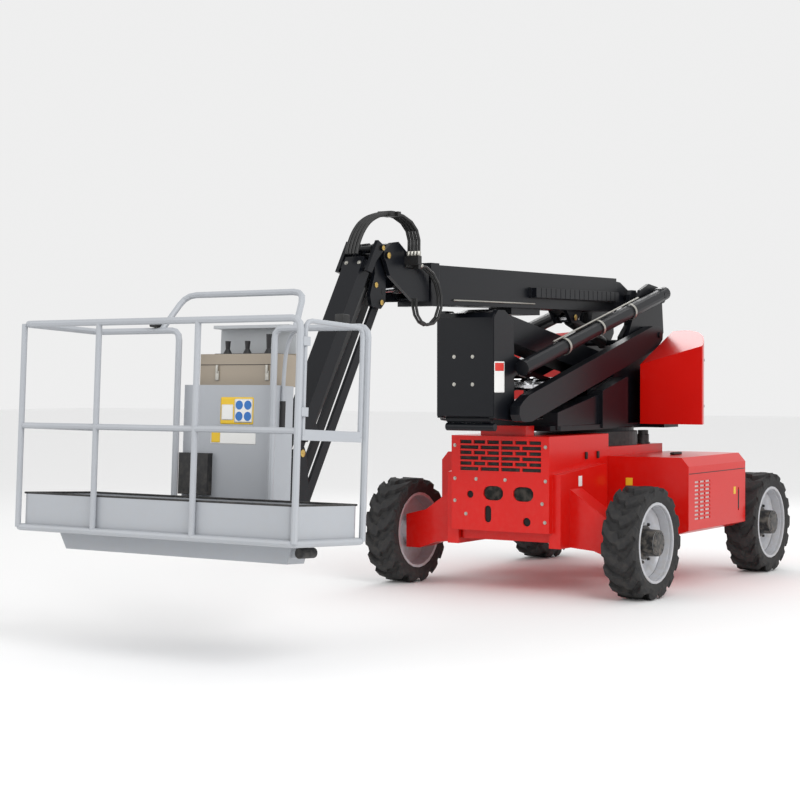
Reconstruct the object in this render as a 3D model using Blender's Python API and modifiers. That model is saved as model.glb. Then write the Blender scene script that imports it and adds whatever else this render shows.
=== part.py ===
"""Articulating boom lift with a folding riser, a telescopic boom, a jib and a work basket.

Metres, +Z up, +X towards the basket, +Y the machine's left side.
The origin is on the ground at the centre of the overall length and width.
"""
import bpy
import bmesh
import math
from mathutils import Matrix, Vector

for old in list(bpy.data.objects):
    bpy.data.objects.remove(old, do_unlink=True)

# Driving sizes
GAP = 0.0003            # seat between touching pieces
PIN_GAP = 0.0005        # radial clearance of a pin in its bore
WHEELBASE = 2.30
TRACK = 2.10            # between tyre centres
TYRE_R = 0.4225
TYRE_W = 0.28
LUG_H = 0.030           # lug height over the carcass
RIM_R = 0.305           # outer radius of the rim barrel
HUB_R = 0.0975          # wheel motor
HUB_END = 1.19          # outer end of the wheel motor, from the middle plane
BASKET_FRONT = 5.5030   # front face of the basket from mid wheelbase, with its tilt
SHIFT = (WHEELBASE / 2 + TYRE_R - BASKET_FRONT) / 2   # moves mid wheelbase to the origin's frame

# Chassis
BODY_HALF = 0.431
BODY_FRONT = 1.455
BODY_REAR = -1.36
BODY_LOW = 0.475
DECK_Z = 1.10
NOSE_Z = 1.208          # top of the grille box
NOSE_REAR = 0.46
TAIL_Z = 0.93
BOX_FRONT, BOX_REAR = 0.473, -0.675
BOX_OUT = 1.13
BOX_LOW, BOX_HIGH = 0.44, 1.03
AXLE_Z = TYRE_R
KINGPIN_Y = 0.965       # steering axis, inside the rim
KINGPIN_R = 0.030
SLEW_R = 0.42           # outer radius of the slewing bearing
SLEW_TOP = 1.215

# Turret
TURRET_Z = 1.24         # underside of the turntable
TURRET_T = 0.04
PLATE_Y = 0.24          # middle of the turret's side plates
PLATE_T = 0.03
TAIL_R = 0.965          # tail radius about the slewing axis
HOOD_FRONT = -0.24
HOOD_IN = 0.375         # inner wall of the hood sides
HOOD_LOW = 1.27

# Riser pins, x and z
LOWER_REAR = (-0.66, 2.02)
LOWER_FRONT = (1.697, 1.40)
LINK_OFFSET = (-0.09, 0.34)      # tube link's pins from the lower arm's pins
UPPER_FRONT = (1.88, 2.09)
UPPER_REAR = (-0.45, 1.69)
UPLINK_OFFSET = (-0.04, -0.24)   # levelling link's pins from the upper arm's pins
HEEL = (-0.49, 2.34)             # main boom's pivot
ARM_IN, ARM_OUT = 0.275, 0.355   # the lower arm's twin beams
ARM_H = 0.204
TUBE_Y, TUBE_R = 0.315, 0.066
KNUCKLE_HALF = 0.245
UPPER_HALF = 0.13
UPPER_H = 0.20
REARK_Y = 0.175                  # middle of the rear knuckle's plates
REARK_T = 0.04

# Main boom
BOOM_TILT = 0.78                 # degrees nose down at rest
BOOM_HALF = 0.13
BOOM_H = 0.28
BOOM_REAR = 0.20                 # rear end, ahead of the heel pin
BOOM_LEN = 2.94
BOOM_RISE = 0.005                # section centre over the heel pin
WALL = 0.012
CHAIN_LINKS, CHAIN_PITCH = 18, 0.080
FLY_HALF = 0.10
FLY_H = 0.215
FLY_FRONT = 3.235                # front end of the inner boom, ahead of the heel pin
FLY_REAR = 0.40
HEAD_PIN = (3.206, 2.483)
JIB_PIN = (3.267, 2.530)
LEVEL_PIN = (3.190, 2.240)
JLINK_PIN = (3.212, 2.165)
JCYL_PIN = (3.275, 2.282)
LEVEL_BASE = (2.50, 2.31)
LEVEL_STROKE = 0.215             # room for the level ram's rod, which only slides in
JIB_VEC = (0.848, -1.357)        # jib pivot to the basket pivot
JCYL_S, JCYL_N = 1.40, 0.085     # jib ram's rod pin along and below the beam
JIB_HALF = 0.075
HEAD_IN, HEAD_OUT = 0.105, 0.135  # the head's twin plates
KN_IN, KN_OUT = 0.061, 0.088      # plates of the jib knuckle and the basket mount
LK_IN, LK_OUT = 0.034, 0.056      # the jib's twin links, inside those plates
JIB_FRONT, JIB_BACK = 0.078, 0.030   # the beam's faces, ahead of and behind its pins
HEAD_NOSE, JIB_EAR = 0.043, 0.028    # round ends beside each other
PIN_R = 0.025

# Rams, x and z of their pins
RISER_BASE = (-0.12, 1.38)
RISER_ROD = (0.95, 1.60)
LIFT_BASE = (-0.30, 1.95)
LIFT_ROD = (0.383, 2.145)

# Basket, drawn upright and then tipped back about the lower basket pin
BASKET_TILT = 3.0
RAIL_R = 0.020
GATE_R = 0.014
BK_FRONT, BK_REAR = 5.478, 4.827
BK_HALF = 1.045
BK_LOW, BK_MID, BK_TOP = 0.676, 1.292, 1.909
TOE_TOP = 0.88
TURN_X = 4.44                    # basket's turning axis
ACT_LOW, ACT_HIGH = 0.66, 1.02   # ends of the turning actuator
CONSOLE_FRONT, CONSOLE_REAR, CONSOLE_HALF = 4.78, 4.60, 0.353
CONSOLE_TOP = 1.574
BOX_C = (4.50, 4.70, 0.30, 1.598, 1.769)   # control box: rear, front, half width, bottom, top


def mat(name, colour, rough, metal=0.0):
    m = bpy.data.materials.new(name)
    m.use_nodes = True
    p = m.node_tree.nodes["Principled BSDF"]
    p.inputs["Base Color"].default_value = (*colour, 1.0)
    p.inputs["Roughness"].default_value = rough
    p.inputs["Metallic"].default_value = metal
    m.diffuse_color = (*colour, 1.0)
    return m


PARTS = bpy.data.collections.new("articulating_boom_lift")
CUTTERS = bpy.data.collections.new("cutters")
bpy.context.scene.collection.children.link(PARTS)
bpy.context.scene.collection.children.link(CUTTERS)


def from_bm(bm, name="solid"):
    me = bpy.data.meshes.new(name)
    bmesh.ops.recalc_face_normals(bm, faces=bm.faces[:])
    bm.to_mesh(me)
    bm.free()
    ob = bpy.data.objects.new(name, me)
    CUTTERS.objects.link(ob)
    return ob


def box(x0, x1, y0, y1, z0, z1):
    bm = bmesh.new()
    bmesh.ops.create_cube(bm, size=1.0)
    bmesh.ops.scale(bm, vec=(x1 - x0, y1 - y0, z1 - z0), verts=bm.verts[:])
    bmesh.ops.translate(bm, vec=((x0 + x1) / 2, (y0 + y1) / 2, (z0 + z1) / 2), verts=bm.verts[:])
    return from_bm(bm)


def cyl(a, b, r, n=20, r2=None):
    a, b = Vector(a), Vector(b)
    d = b - a
    bm = bmesh.new()
    bmesh.ops.create_cone(bm, cap_ends=True, segments=n, radius1=r, radius2=r if r2 is None else r2,
                          depth=d.length)
    q = Vector((0, 0, 1)).rotation_difference(d.normalized())
    bmesh.ops.transform(bm, matrix=Matrix.Translation((a + b) / 2) @ q.to_matrix().to_4x4(),
                        verts=bm.verts[:])
    return from_bm(bm)


def pin(p, y0, y1, r=PIN_R, n=12):
    """A cylinder across the machine at the side-view point p."""
    return cyl((p[0], y0, p[1]), (p[0], y1, p[1]), r, n)


def bore(p, r, n=12):
    """The hole for a pin of radius r at p, whose flats clear the pin's corners as it turns."""
    ob = pin(p, -0.5, 0.5, (r + PIN_GAP) / math.cos(math.pi / n), n)
    to = Matrix.Translation((p[0], 0, p[1]))
    ob.data.transform(to @ Matrix.Rotation(math.pi / n, 4, "Y") @ to.inverted())
    return ob


def curve_solid(cu):
    ob = bpy.data.objects.new("curve", cu)
    CUTTERS.objects.link(ob)
    dg = bpy.context.evaluated_depsgraph_get()
    me = bpy.data.meshes.new_from_object(ob.evaluated_get(dg))
    bpy.data.objects.remove(ob, do_unlink=True)
    bm = bmesh.new()
    bm.from_mesh(me)
    bmesh.ops.remove_doubles(bm, verts=bm.verts[:], dist=0.00005)
    bmesh.ops.triangulate(bm, faces=bm.faces[:])
    return from_bm(bm)


def plate(points, y0, y1, axis="Y", holes=()):
    """A flat outline extruded between y0 and y1. Axis Y takes x, z points, X takes y, z and Z takes x, y."""
    cu = bpy.data.curves.new("outline", "CURVE")
    cu.dimensions = "2D"
    cu.fill_mode = "BOTH"
    cu.extrude = abs(y1 - y0) / 2
    for loop in (points, *holes):
        sp = cu.splines.new("POLY")
        sp.points.add(len(loop) - 1)
        for k, (u, v) in enumerate(loop):
            sp.points[k].co = (u, v, 0, 1)
        sp.use_cyclic_u = True
    ob = curve_solid(cu)
    turn = {"Y": Matrix(((1, 0, 0), (0, 0, -1), (0, 1, 0))), "Z": Matrix.Identity(3),
            "X": Matrix(((0, 0, 1), (1, 0, 0), (0, 1, 0)))}[axis]
    off = {"Y": (0, (y0 + y1) / 2, 0), "Z": (0, 0, (y0 + y1) / 2), "X": ((y0 + y1) / 2, 0, 0)}[axis]
    ob.data.transform(Matrix.Translation(off) @ turn.to_4x4())
    return ob


def round_loop(points, r, n=4):
    """The outline with each corner replaced by an arc of radius r."""
    out = []
    m = len(points)
    for k in range(m):
        p = Vector(points[k])
        a = (Vector(points[k - 1]) - p)
        b = (Vector(points[(k + 1) % m]) - p)
        rr = r[k] if isinstance(r, (list, tuple)) else r
        if rr <= 0:
            out.append(tuple(p))
            continue
        half = a.angle(b) / 2
        cut = min(rr / math.tan(half), a.length * 0.48, b.length * 0.48)
        rad = cut * math.tan(half)
        centre = p + (a.normalized() + b.normalized()).normalized() * (rad / math.sin(half))
        s, e = p + a.normalized() * cut - centre, p + b.normalized() * cut - centre
        ang = s.angle_signed(e)
        for i in range(n + 1):
            c = ang * i / n
            out.append((centre.x + s.x * math.cos(c) + s.y * math.sin(c),
                        centre.y - s.x * math.sin(c) + s.y * math.cos(c)))
    return out


def bar(p, q, h, y0, y1, r0=None, r1=None, n=4, run=0.0):
    """A flat bar of depth h from p to q in side view, with round ends that widen to h over the length run."""
    p, q = Vector(p), Vector(q)
    u = (q - p).normalized()
    v = Vector((-u.y, u.x))
    r0, r1 = r0 or h / 2, r1 or h / 2
    loop = [tuple(p + u * run + v * (h / 2))] if run else []
    for k in range(n + 1):
        a = math.pi / 2 + math.pi * k / n
        loop.append(tuple(p + u * (r0 * math.cos(a)) + v * (r0 * math.sin(a))))
    if run:
        loop += [tuple(p + u * run - v * (h / 2)), tuple(q - u * run - v * (h / 2))]
    for k in range(n + 1):
        a = -math.pi / 2 + math.pi * k / n
        loop.append(tuple(q + u * (r1 * math.cos(a)) + v * (r1 * math.sin(a))))
    if run:
        loop.append(tuple(q - u * run + v * (h / 2)))
    return plate(loop, y0, y1)


def smooth_path(points, bend, n=5):
    """The polyline with each inner corner replaced by an arc-like fillet of length bend."""
    pts = [Vector(p) for p in points]
    out = [pts[0]]
    for k in range(1, len(pts) - 1):
        a, b = pts[k - 1] - pts[k], pts[k + 1] - pts[k]
        c = min(bend, a.length * 0.45, b.length * 0.45)
        s, e = pts[k] + a.normalized() * c, pts[k] + b.normalized() * c
        for i in range(n + 1):
            t = i / n
            out.append(s * (1 - t) ** 2 + pts[k] * 2 * t * (1 - t) + e * t ** 2)
    out.append(pts[-1])
    return out


def tube(points, r, bend=0.0, res=2, closed=False, n=5):
    """A round tube along the points. A closed one starts in the middle of a straight."""
    if closed:
        pts = smooth_path(points + points[:1], bend, n)[:-1]
    else:
        pts = smooth_path(points, bend, n) if bend else [Vector(p) for p in points]
    cu = bpy.data.curves.new("tube", "CURVE")
    cu.dimensions = "3D"
    cu.fill_mode = "FULL"
    cu.bevel_depth = r
    cu.bevel_resolution = res
    cu.use_fill_caps = not closed
    sp = cu.splines.new("POLY")
    sp.points.add(len(pts) - 1)
    for k, p in enumerate(pts):
        sp.points[k].co = (*p, 1)
    sp.use_cyclic_u = closed
    return curve_solid(cu)


def turned(profile, centre, steps=32, sign=1):
    """A profile of radius, offset pairs turned about an axis along Y. One that ends on the axis stays open."""
    bm = bmesh.new()
    vs = [bm.verts.new((r, 0, z)) for r, z in profile]
    on_axis = profile[0][0] == 0 and profile[-1][0] == 0
    for k in range(len(vs) - (1 if on_axis else 0)):
        bm.edges.new((vs[k], vs[(k + 1) % len(vs)]))
    me = bpy.data.meshes.new("profile")
    bm.to_mesh(me)
    bm.free()
    ob = bpy.data.objects.new("turned", me)
    CUTTERS.objects.link(ob)
    sc = ob.modifiers.new("turn", "SCREW")
    sc.axis = "Z"
    sc.steps = sc.render_steps = steps
    sc.use_merge_vertices = True
    sc.merge_threshold = 0.00005
    dg = bpy.context.evaluated_depsgraph_get()
    me = bpy.data.meshes.new_from_object(ob.evaluated_get(dg))
    bpy.data.objects.remove(ob, do_unlink=True)
    bm = bmesh.new()
    bm.from_mesh(me)
    bmesh.ops.remove_doubles(bm, verts=bm.verts[:], dist=0.00005)
    ob = from_bm(bm)
    ob.data.transform(Matrix.Translation(centre) @ Matrix.Rotation(-sign * math.pi / 2, 4, "X"))
    return ob


def combine(base, others, op):
    for o in others:
        md = base.modifiers.new("join", "BOOLEAN")
        md.operation = op
        md.solver = "EXACT"
        md.object = o
        dg = bpy.context.evaluated_depsgraph_get()
        me = bpy.data.meshes.new_from_object(base.evaluated_get(dg))
        base.modifiers.clear()
        bm = bmesh.new()
        bm.from_mesh(me)
        bmesh.ops.triangulate(bm, faces=[f for f in bm.faces if len(f.verts) > 4])
        bm.to_mesh(me)
        bm.free()
        base.data = me
        bpy.data.objects.remove(o, do_unlink=True)
    return base


def gather(solids):
    """Solids that don't touch each other, as one mesh for a single union or cut."""
    bm = bmesh.new()
    for o in solids:
        bm.from_mesh(o.data)
        bpy.data.objects.remove(o, do_unlink=True)
    return from_bm(bm)


def node(name, material, adds, cuts=(), origin=(0, 0, 0), angle=30, lean=None):
    """Joins the solids, cuts the openings, tips the piece, and puts the origin on the joint's axis."""
    base = adds[0]
    if len(adds) > 1:
        combine(base, list(adds[1:]), "UNION")
    if cuts:
        combine(base, list(cuts), "DIFFERENCE")
    origin = Vector(origin)
    bm = bmesh.new()
    bm.from_mesh(base.data)
    if lean:
        deg, about = lean
        m = Matrix.Translation((about[0], 0, about[1])) @ Matrix.Rotation(-math.radians(deg), 4, "Y") \
            @ Matrix.Translation((-about[0], 0, -about[1]))
        bmesh.ops.transform(bm, matrix=m, verts=bm.verts[:])
    bmesh.ops.remove_doubles(bm, verts=bm.verts[:], dist=0.00002)
    bmesh.ops.translate(bm, vec=-origin, verts=bm.verts[:])
    bm.to_mesh(base.data)
    bm.free()
    base.name = name
    base.data.name = name
    base.data.materials.clear()
    base.data.materials.append(material)
    base.data.shade_smooth()
    base.data.set_sharp_from_angle(angle=math.radians(angle))
    base.location = origin + Vector((SHIFT, 0, 0))
    CUTTERS.objects.unlink(base)
    PARTS.objects.link(base)
    return base


def at(p, y=0.0):
    return (p[0], y, p[1])


def off(p, d):
    return (p[0] + d[0], p[1] + d[1])


def tip(p, deg, about):
    """A side-view point turned by deg, nose up, about another."""
    a = math.radians(deg)
    x, z = p[0] - about[0], p[1] - about[1]
    return (about[0] + x * math.cos(a) - z * math.sin(a), about[1] + x * math.sin(a) + z * math.cos(a))


RED = mat("red_paint", (0.62, 0.012, 0.006), 0.32)
BLACK = mat("black_paint", (0.028, 0.031, 0.038), 0.38)
GREY = mat("grey_paint", (0.36, 0.38, 0.42), 0.45)
TYRE = mat("tyre_rubber", (0.022, 0.022, 0.022), 0.85)
RIM = mat("silver_paint", (0.50, 0.51, 0.54), 0.40, 0.3)
DARK = mat("dark_casting", (0.012, 0.012, 0.013), 0.5)
STEEL = mat("chromed_rod", (0.65, 0.66, 0.68), 0.15, 1.0)
BEIGE = mat("beige_box", (0.30, 0.25, 0.20), 0.5)
HOSE = mat("hose_rubber", (0.012, 0.012, 0.012), 0.55)

# Chassis: centre body, grille box in front, tail, and the axle arms
for_chassis = [
    box(BODY_REAR, BODY_FRONT, -BODY_HALF, BODY_HALF, BODY_LOW, TAIL_Z),
    box(-0.56, BODY_FRONT - 0.002, -BODY_HALF + 0.001, BODY_HALF - 0.001, 0.6, DECK_Z),
    box(NOSE_REAR, BODY_FRONT - 0.0, -BODY_HALF, BODY_HALF, 0.62, NOSE_Z),
    box(1.27, 1.40, -0.20, 0.20, NOSE_Z - 0.02, 1.285),
]
ARM_END = 0.985         # outer end of the fixed front arms
ARM = [(0.40, 0.37), (0.70, 0.345), (0.86, 0.29), (ARM_END, 0.29), (ARM_END, 0.555), (0.80, 0.60), (0.42, 0.86)]
RARM = [(0.40, 0.48), (0.62, 0.44), (0.915, 0.34), (0.915, 0.50), (0.62, 0.62), (0.40, 0.72)]
for s in (1, -1):
    front = [(s * y, z) for y, z in ARM]
    rear = [(s * y, z) for y, z in RARM]
    ax, rx = WHEELBASE / 2, -WHEELBASE / 2
    for_chassis += [
        plate(front, ax - 0.10, ax + 0.10, "X"),
        plate([(0.62, 0.36), (1.40, 0.36), (1.40, 0.92), (0.62, 0.98)],
              s * 0.40, s * 0.50, "Y"),
        plate(rear, rx - 0.085, rx + 0.085, "X"),
        box(rx - 0.055, rx + 0.055, min(s * 0.88, s * 1.005), max(s * 0.88, s * 1.005),
            AXLE_Z + 0.105, AXLE_Z + 0.145),
        box(rx - 0.055, rx + 0.055, min(s * 0.88, s * 1.005), max(s * 0.88, s * 1.005),
            AXLE_Z - 0.145, AXLE_Z - 0.105),
        box(rx - 0.055, rx + 0.055, min(s * 0.86, s * 0.905), max(s * 0.86, s * 0.905),
            AXLE_Z - 0.145, AXLE_Z + 0.145),
    ]
for_chassis.append(box(0.75, 1.36, -0.39, 0.39, 0.40, BODY_LOW + 0.01))
GRILLE = (-0.362, 0.371, 0.930, 1.180)       # the slot field: right, left, bottom, top
POCKET = 0.045                               # depth of the openings
cuts = []
g0, g1, g2, g3 = GRILLE
for row in range(6):
    count = 6 if row % 2 == 0 else 4
    pitch = (g1 - g0) / count
    z = g3 - (g3 - g2) * (row + 0.5) / 6
    for k in range(count):
        y = g0 + pitch * (k + 0.5)
        w, d = pitch / 2 - 0.010, 0.0135
        cuts.append(box(BODY_FRONT - POCKET, BODY_FRONT + 0.01, y - w, y + w, z - d, z + d))


def obround(y, z, half, r, tall=False, n=5):
    loop = []
    for e in (1, -1):
        for k in range(n + 1):
            a = -math.pi / 2 + math.pi * k / n
            u, v = e * (half + r * math.cos(a)), e * r * math.sin(a)
            loop.append((y + v, z - u) if tall else (y + u, z + v))
    return plate(loop, BODY_FRONT - POCKET, BODY_FRONT + 0.01, "X")


cuts += [obround(-0.056, 0.767, 0.035, 0.055), obround(0.208, 0.767, 0.035, 0.055),
         obround(-0.103, 0.605, 0.036, 0.030, tall=True), obround(-0.262, 0.752, 0.001, 0.029),
         obround(0.238, 0.557, 0.001, 0.034)]
cuts = [gather(cuts)]
for s in (1, -1):
    cuts.append(cyl((-WHEELBASE / 2, s * KINGPIN_Y, AXLE_Z - 0.2), (-WHEELBASE / 2, s * KINGPIN_Y, AXLE_Z + 0.2),
                    KINGPIN_R + PIN_GAP, 20))
node("chassis_frame", RED, for_chassis, cuts)

# Side boxes with their chamfered outer edges and louvres
LOUVRE = (0.045, 0.360, 0.53)            # rear, front and bottom of the louvres
LOUVRE_ROWS, LOUVRE_PITCH = 10, 0.032
for s, side in ((1, "left"), (-1, "right")):
    y0 = BODY_HALF + GAP
    loop = [(s * y0, BOX_LOW + 0.03), (s * (BOX_OUT - 0.12), BOX_LOW - 0.02), (s * BOX_OUT, BOX_LOW + 0.02),
            (s * BOX_OUT, BOX_HIGH - 0.07), (s * (BOX_OUT - 0.06), BOX_HIGH), (s * y0, BOX_HIGH)]
    cuts = []
    for col in range(3):
        for row in range(LOUVRE_ROWS):
            x, z = LOUVRE[0] + (col + 0.5) * (LOUVRE[1] - LOUVRE[0]) / 3, LOUVRE[2] + (row + 0.5) * LOUVRE_PITCH
            cuts.append(box(x - 0.046, x + 0.046, *sorted((s * (BOX_OUT - 0.012), s * (BOX_OUT + 0.01))),
                            z - 0.008, z + 0.008))
    x, z = -0.53, 0.655                  # the latch slot
    cuts.append(box(x - 0.011, x + 0.011, *sorted((s * (BOX_OUT - 0.03), s * (BOX_OUT + 0.01))), z - 0.095, z + 0.095))
    node("side_box_" + side, RED, [plate(loop, BOX_REAR, BOX_FRONT, "X")], [gather(cuts)])

# Slewing bearing on the deck
node("slew_bearing", DARK, [cyl((0, 0, DECK_Z + GAP), (0, 0, SLEW_TOP), SLEW_R, 48)])

# Wheels: tyre, and rim with its wheel motor
LUGS = 15
LUG_STEPS = ((0.0, 0), (0.10, 1), (0.54, 1), (0.66, 0))      # places in one pitch, 1 on the lug's top
BEAD_R = (RIM_R + GAP) / math.cos(math.pi * 0.44 / LUGS)     # clears the rim's barrel between its corners
TREAD = [                # across the tyre: offset, radius on a lug, radius and offset in a groove, sweep in pitches
    (-0.125, BEAD_R, BEAD_R, -0.125, 0.0),
    (-0.138, 0.352, 0.350, -0.137, -0.10),
    (-0.140, 0.396, 0.385, -0.128, -0.34),
    (-0.124, TYRE_R - 0.002, TYRE_R - LUG_H - 0.004, -0.120, -0.46),
    (-0.060, TYRE_R, TYRE_R - LUG_H, -0.060, 0.02),
    (-0.004, TYRE_R, TYRE_R - LUG_H, -0.004, 0.10),
    (0.012, TYRE_R, TYRE_R - LUG_H, 0.012, 0.34),
    (0.060, TYRE_R, TYRE_R - LUG_H, 0.060, 0.24),
    (0.124, TYRE_R - 0.002, TYRE_R - LUG_H - 0.004, 0.120, -0.28),
    (0.140, 0.396, 0.385, 0.128, -0.16),
    (0.138, 0.352, 0.350, 0.137, -0.06),
    (0.125, BEAD_R, BEAD_R, 0.125, 0.0),
]


def lugged_tyre(centre, sign):
    """A ring of tread rows whose radius steps between lug and groove and whose angle follows the chevron."""
    bm = bmesh.new()
    rows = []
    for k in range(LUGS):
        for place, top in LUG_STEPS:
            row = []
            for y_top, r_top, r_low, y_low, sweep in TREAD:
                a = 2 * math.pi * (k + place + sweep) / LUGS
                r, y = (r_top, y_top) if top else (r_low, y_low)
                row.append(bm.verts.new((centre[0] + r * math.sin(a), centre[1] + sign * y,
                                         centre[2] + r * math.cos(a))))
            rows.append(row)
    for k, row in enumerate(rows):
        after = rows[(k + 1) % len(rows)]
        for i in range(len(row)):
            j = (i + 1) % len(row)
            bm.faces.new((row[i], row[j], after[j], after[i]))
    bmesh.ops.triangulate(bm, faces=bm.faces[:])
    return from_bm(bm)


disc = -0.017           # inner face of the rim's disc from the tyre's middle plane
WHEELS = (("fl", 1, 1), ("fr", 1, -1), ("rl", -1, 1), ("rr", -1, -1))
for tag, e, s in WHEELS:
    c = (e * WHEELBASE / 2, s * TRACK / 2, AXLE_Z)
    node("tyre_" + tag, TYRE, [lugged_tyre(c, s)], origin=c)
    back = (ARM_END if e > 0 else 1.0237) + GAP - TRACK / 2
    profile = [(0, back), (0.108, back), (0.108, disc), (0.277, disc), (0.283, -0.122), (RIM_R, -0.125),
               (RIM_R, 0.125), (0.283, 0.122), (0.277, disc + 0.014), (HUB_R, disc + 0.014),
               (HUB_R, HUB_END - TRACK / 2), (0, HUB_END - TRACK / 2)]
    node("wheel_" + tag, RIM, [turned(profile, c, 24, s)], origin=c)

# Steering knuckles of the rear wheels
for tag, s in (("left", 1), ("right", -1)):
    c = (-WHEELBASE / 2, s * KINGPIN_Y, AXLE_Z)
    node("steer_knuckle_" + tag, DARK, [
        cyl((c[0], c[1], AXLE_Z - 0.1047), (c[0], c[1], AXLE_Z + 0.1047), 0.045, 20),
        cyl((c[0], c[1], AXLE_Z - 0.150), (c[0], c[1], AXLE_Z + 0.150), KINGPIN_R, 20),
        cyl((c[0], s * 0.95, AXLE_Z), (c[0], s * 1.0237, AXLE_Z), 0.04, 20)], origin=c)

# Turntable with the side plates that carry the riser, and the front cabinet
tr, lr = off(LOWER_REAR, LINK_OFFSET), LOWER_REAR
side = [(0.43, TURRET_Z + 0.01), (0.43, 1.56), (0.02, 1.66), (-0.22, 1.95), (-0.50, 2.40), (-0.66, 2.46),
        (-0.84, 2.44), (-0.93, 2.30), (-0.96, 2.05), (-0.80, 1.86), (-0.60, 1.76), (-0.60, TURRET_Z + 0.01)]
adds = [
    plate([(-0.60, -0.37), (1.10, -0.34), (1.16, -0.28), (1.16, 0.28), (1.10, 0.34), (-0.60, 0.37)],
          TURRET_Z, TURRET_Z + TURRET_T, "Z"),
    cyl((0, 0, SLEW_TOP + GAP), (0, 0, TURRET_Z + 0.01), SLEW_R - 0.03, 48),
    pin((-0.84, 2.30), -PLATE_Y, PLATE_Y, 0.03),
]
for s in (1, -1):
    y0, y1 = s * (PLATE_Y - PLATE_T / 2), s * (PLATE_Y + PLATE_T / 2)
    adds.append(plate(side, min(y0, y1), max(y0, y1)))
    y0, y1 = s * 0.25, s * 0.365
    adds.append(plate([(-0.03, TURRET_Z + 0.01), (0.43, TURRET_Z + 0.01), (0.43, 1.55), (0.0, 1.66), (-0.03, 1.66)],
                      min(y0, y1), max(y0, y1)))
    y0, y1 = s * 0.20, s * 0.33
    adds.append(plate([(0.42, TURRET_Z + 0.01), (1.13, TURRET_Z + 0.01), (1.13, 1.385), (0.42, 1.52)],
                      min(y0, y1), max(y0, y1)))
adds.append(box(0.48, 1.13, -0.25, 0.25, TURRET_Z + 0.01, 1.33))
for s in (1, -1):
    adds.append(box(-0.55, -0.27, *sorted((s * 0.35, s * 0.58)), TURRET_Z + 0.001, HOOD_LOW - GAP))
adds.append(pin(RISER_BASE, -PLATE_Y, PLATE_Y, PIN_R))
for s in (1, -1):
    for p in (lr, tr):
        y0, y1 = sorted((s * PLATE_Y, s * (ARM_OUT + 0.012 if p is lr else TUBE_Y + 0.058)))
        adds.append(pin(p, y0, y1, PIN_R))
node("turret_frame", BLACK, adds)

# Tail hood around the back of the turntable, with a raised roof
a0 = math.asin(0.93 / TAIL_R)
arc = [(-TAIL_R * math.cos(a0 + (math.pi - 2 * a0) * 0 - t), TAIL_R * math.sin(a0 - t))
       for t in [2 * a0 * k / 20 for k in range(21)]]
loop = [(HOOD_FRONT, 0.93)] + [(x, y) for x, y in arc if x < HOOD_FRONT - 0.01] + [(HOOD_FRONT, -0.93)]
loop += [(HOOD_FRONT, -HOOD_IN), (-0.62, -HOOD_IN), (-0.62, HOOD_IN), (HOOD_FRONT, HOOD_IN)]
hood = plate(loop, HOOD_LOW, 2.30, "Z")
roof = []
for s in (1, -1):
    bm = bmesh.new()
    bmesh.ops.create_cube(bm, size=1.0)
    bmesh.ops.scale(bm, vec=(2.4, 1.6, 0.8), verts=bm.verts[:])
    bmesh.ops.translate(bm, vec=(0, 0, 0.4), verts=bm.verts[:])
    ob = from_bm(bm)
    # The roof rises towards the back and towards the outer side
    up = Vector((0, s * 0.57, 0.152)).cross(Vector((-0.65, 0, 0.29)))
    up = up if up.z > 0 else -up
    q = Vector((0, 0, 1)).rotation_difference(up.normalized())
    ob.data.transform(Matrix.Translation((HOOD_FRONT, s * HOOD_IN, 1.767)) @ q.to_matrix().to_4x4())
    roof.append(combine(ob, [box(-3, 3, min(0, s * 3), max(0, s * 3), 0, 4)], "INTERSECT"))
slot = box(-1.0, -0.55, -0.375, 0.375, 1.74, 2.5)
node("tail_hood", RED, [hood], roof + [slot])

# Lower arm: twin beams, cross tubes, pins at the front
adds = []
for s in (1, -1):
    y0, y1 = sorted((s * ARM_IN, s * ARM_OUT))
    adds.append(bar(LOWER_REAR, LOWER_FRONT, ARM_H, y0, y1, 0.075, 0.080, run=0.10))
adds.append(pin(LOWER_FRONT, -ARM_IN - 0.02, ARM_IN + 0.02, PIN_R))
cuts = [bore(LOWER_REAR, PIN_R)]
node("lower_arm", BLACK, adds, cuts, origin=at(LOWER_REAR))

# Tube links over the lower arm
lf = off(LOWER_FRONT, LINK_OFFSET)
d = (Vector(lf) - Vector(tr)).normalized()
adds = []
for s in (1, -1):
    a = (tr[0] - d.x * 0.10, s * TUBE_Y, tr[1] - d.y * 0.10)
    b = (lf[0] + d.x * 0.06, s * TUBE_Y, lf[1] + d.y * 0.06)
    adds.append(cyl(a, b, TUBE_R - 0.008, 16))
    adds.append(pin(lf, s * TUBE_Y - 0.03, s * TUBE_Y + 0.03, 0.055))
    adds.append(pin(tr, s * TUBE_Y - 0.03, s * TUBE_Y + 0.03, TUBE_R))
adds.append(pin(lf, -TUBE_Y, TUBE_Y, PIN_R))
node("tube_link", BLACK, adds, [bore(tr, PIN_R)], origin=at(tr))

# Front knuckle: a channel open to the rear
adds = [plate(round_loop([(1.94, 1.36), (1.972, 1.37), (1.972, 2.10), (1.94, 2.135)], 0.0), 0.004 - KNUCKLE_HALF, KNUCKLE_HALF - 0.004),
        box(1.665, 1.95, -KNUCKLE_HALF + 0.006, KNUCKLE_HALF - 0.006, 1.365, 1.385),
        pin((1.90, 1.347), -0.19, 0.19, 0.028)]
for s in (1, -1):
    y0, y1 = sorted((s * 0.205, s * KNUCKLE_HALF))
    adds.append(plate([(1.655, 1.33), (1.96, 1.355), (1.96, 2.10), (1.90, 2.155), (1.80, 2.155), (1.67, 2.08), (1.66, 1.82),
                       (1.55, 1.79), (1.545, 1.70), (1.66, 1.66)], y0, y1))
    adds.append(pin(UPPER_FRONT, *sorted((s * 0.14, s * 0.235)), 0.05))
adds.append(pin(UPPER_FRONT, -0.22, 0.22, PIN_R))
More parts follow.
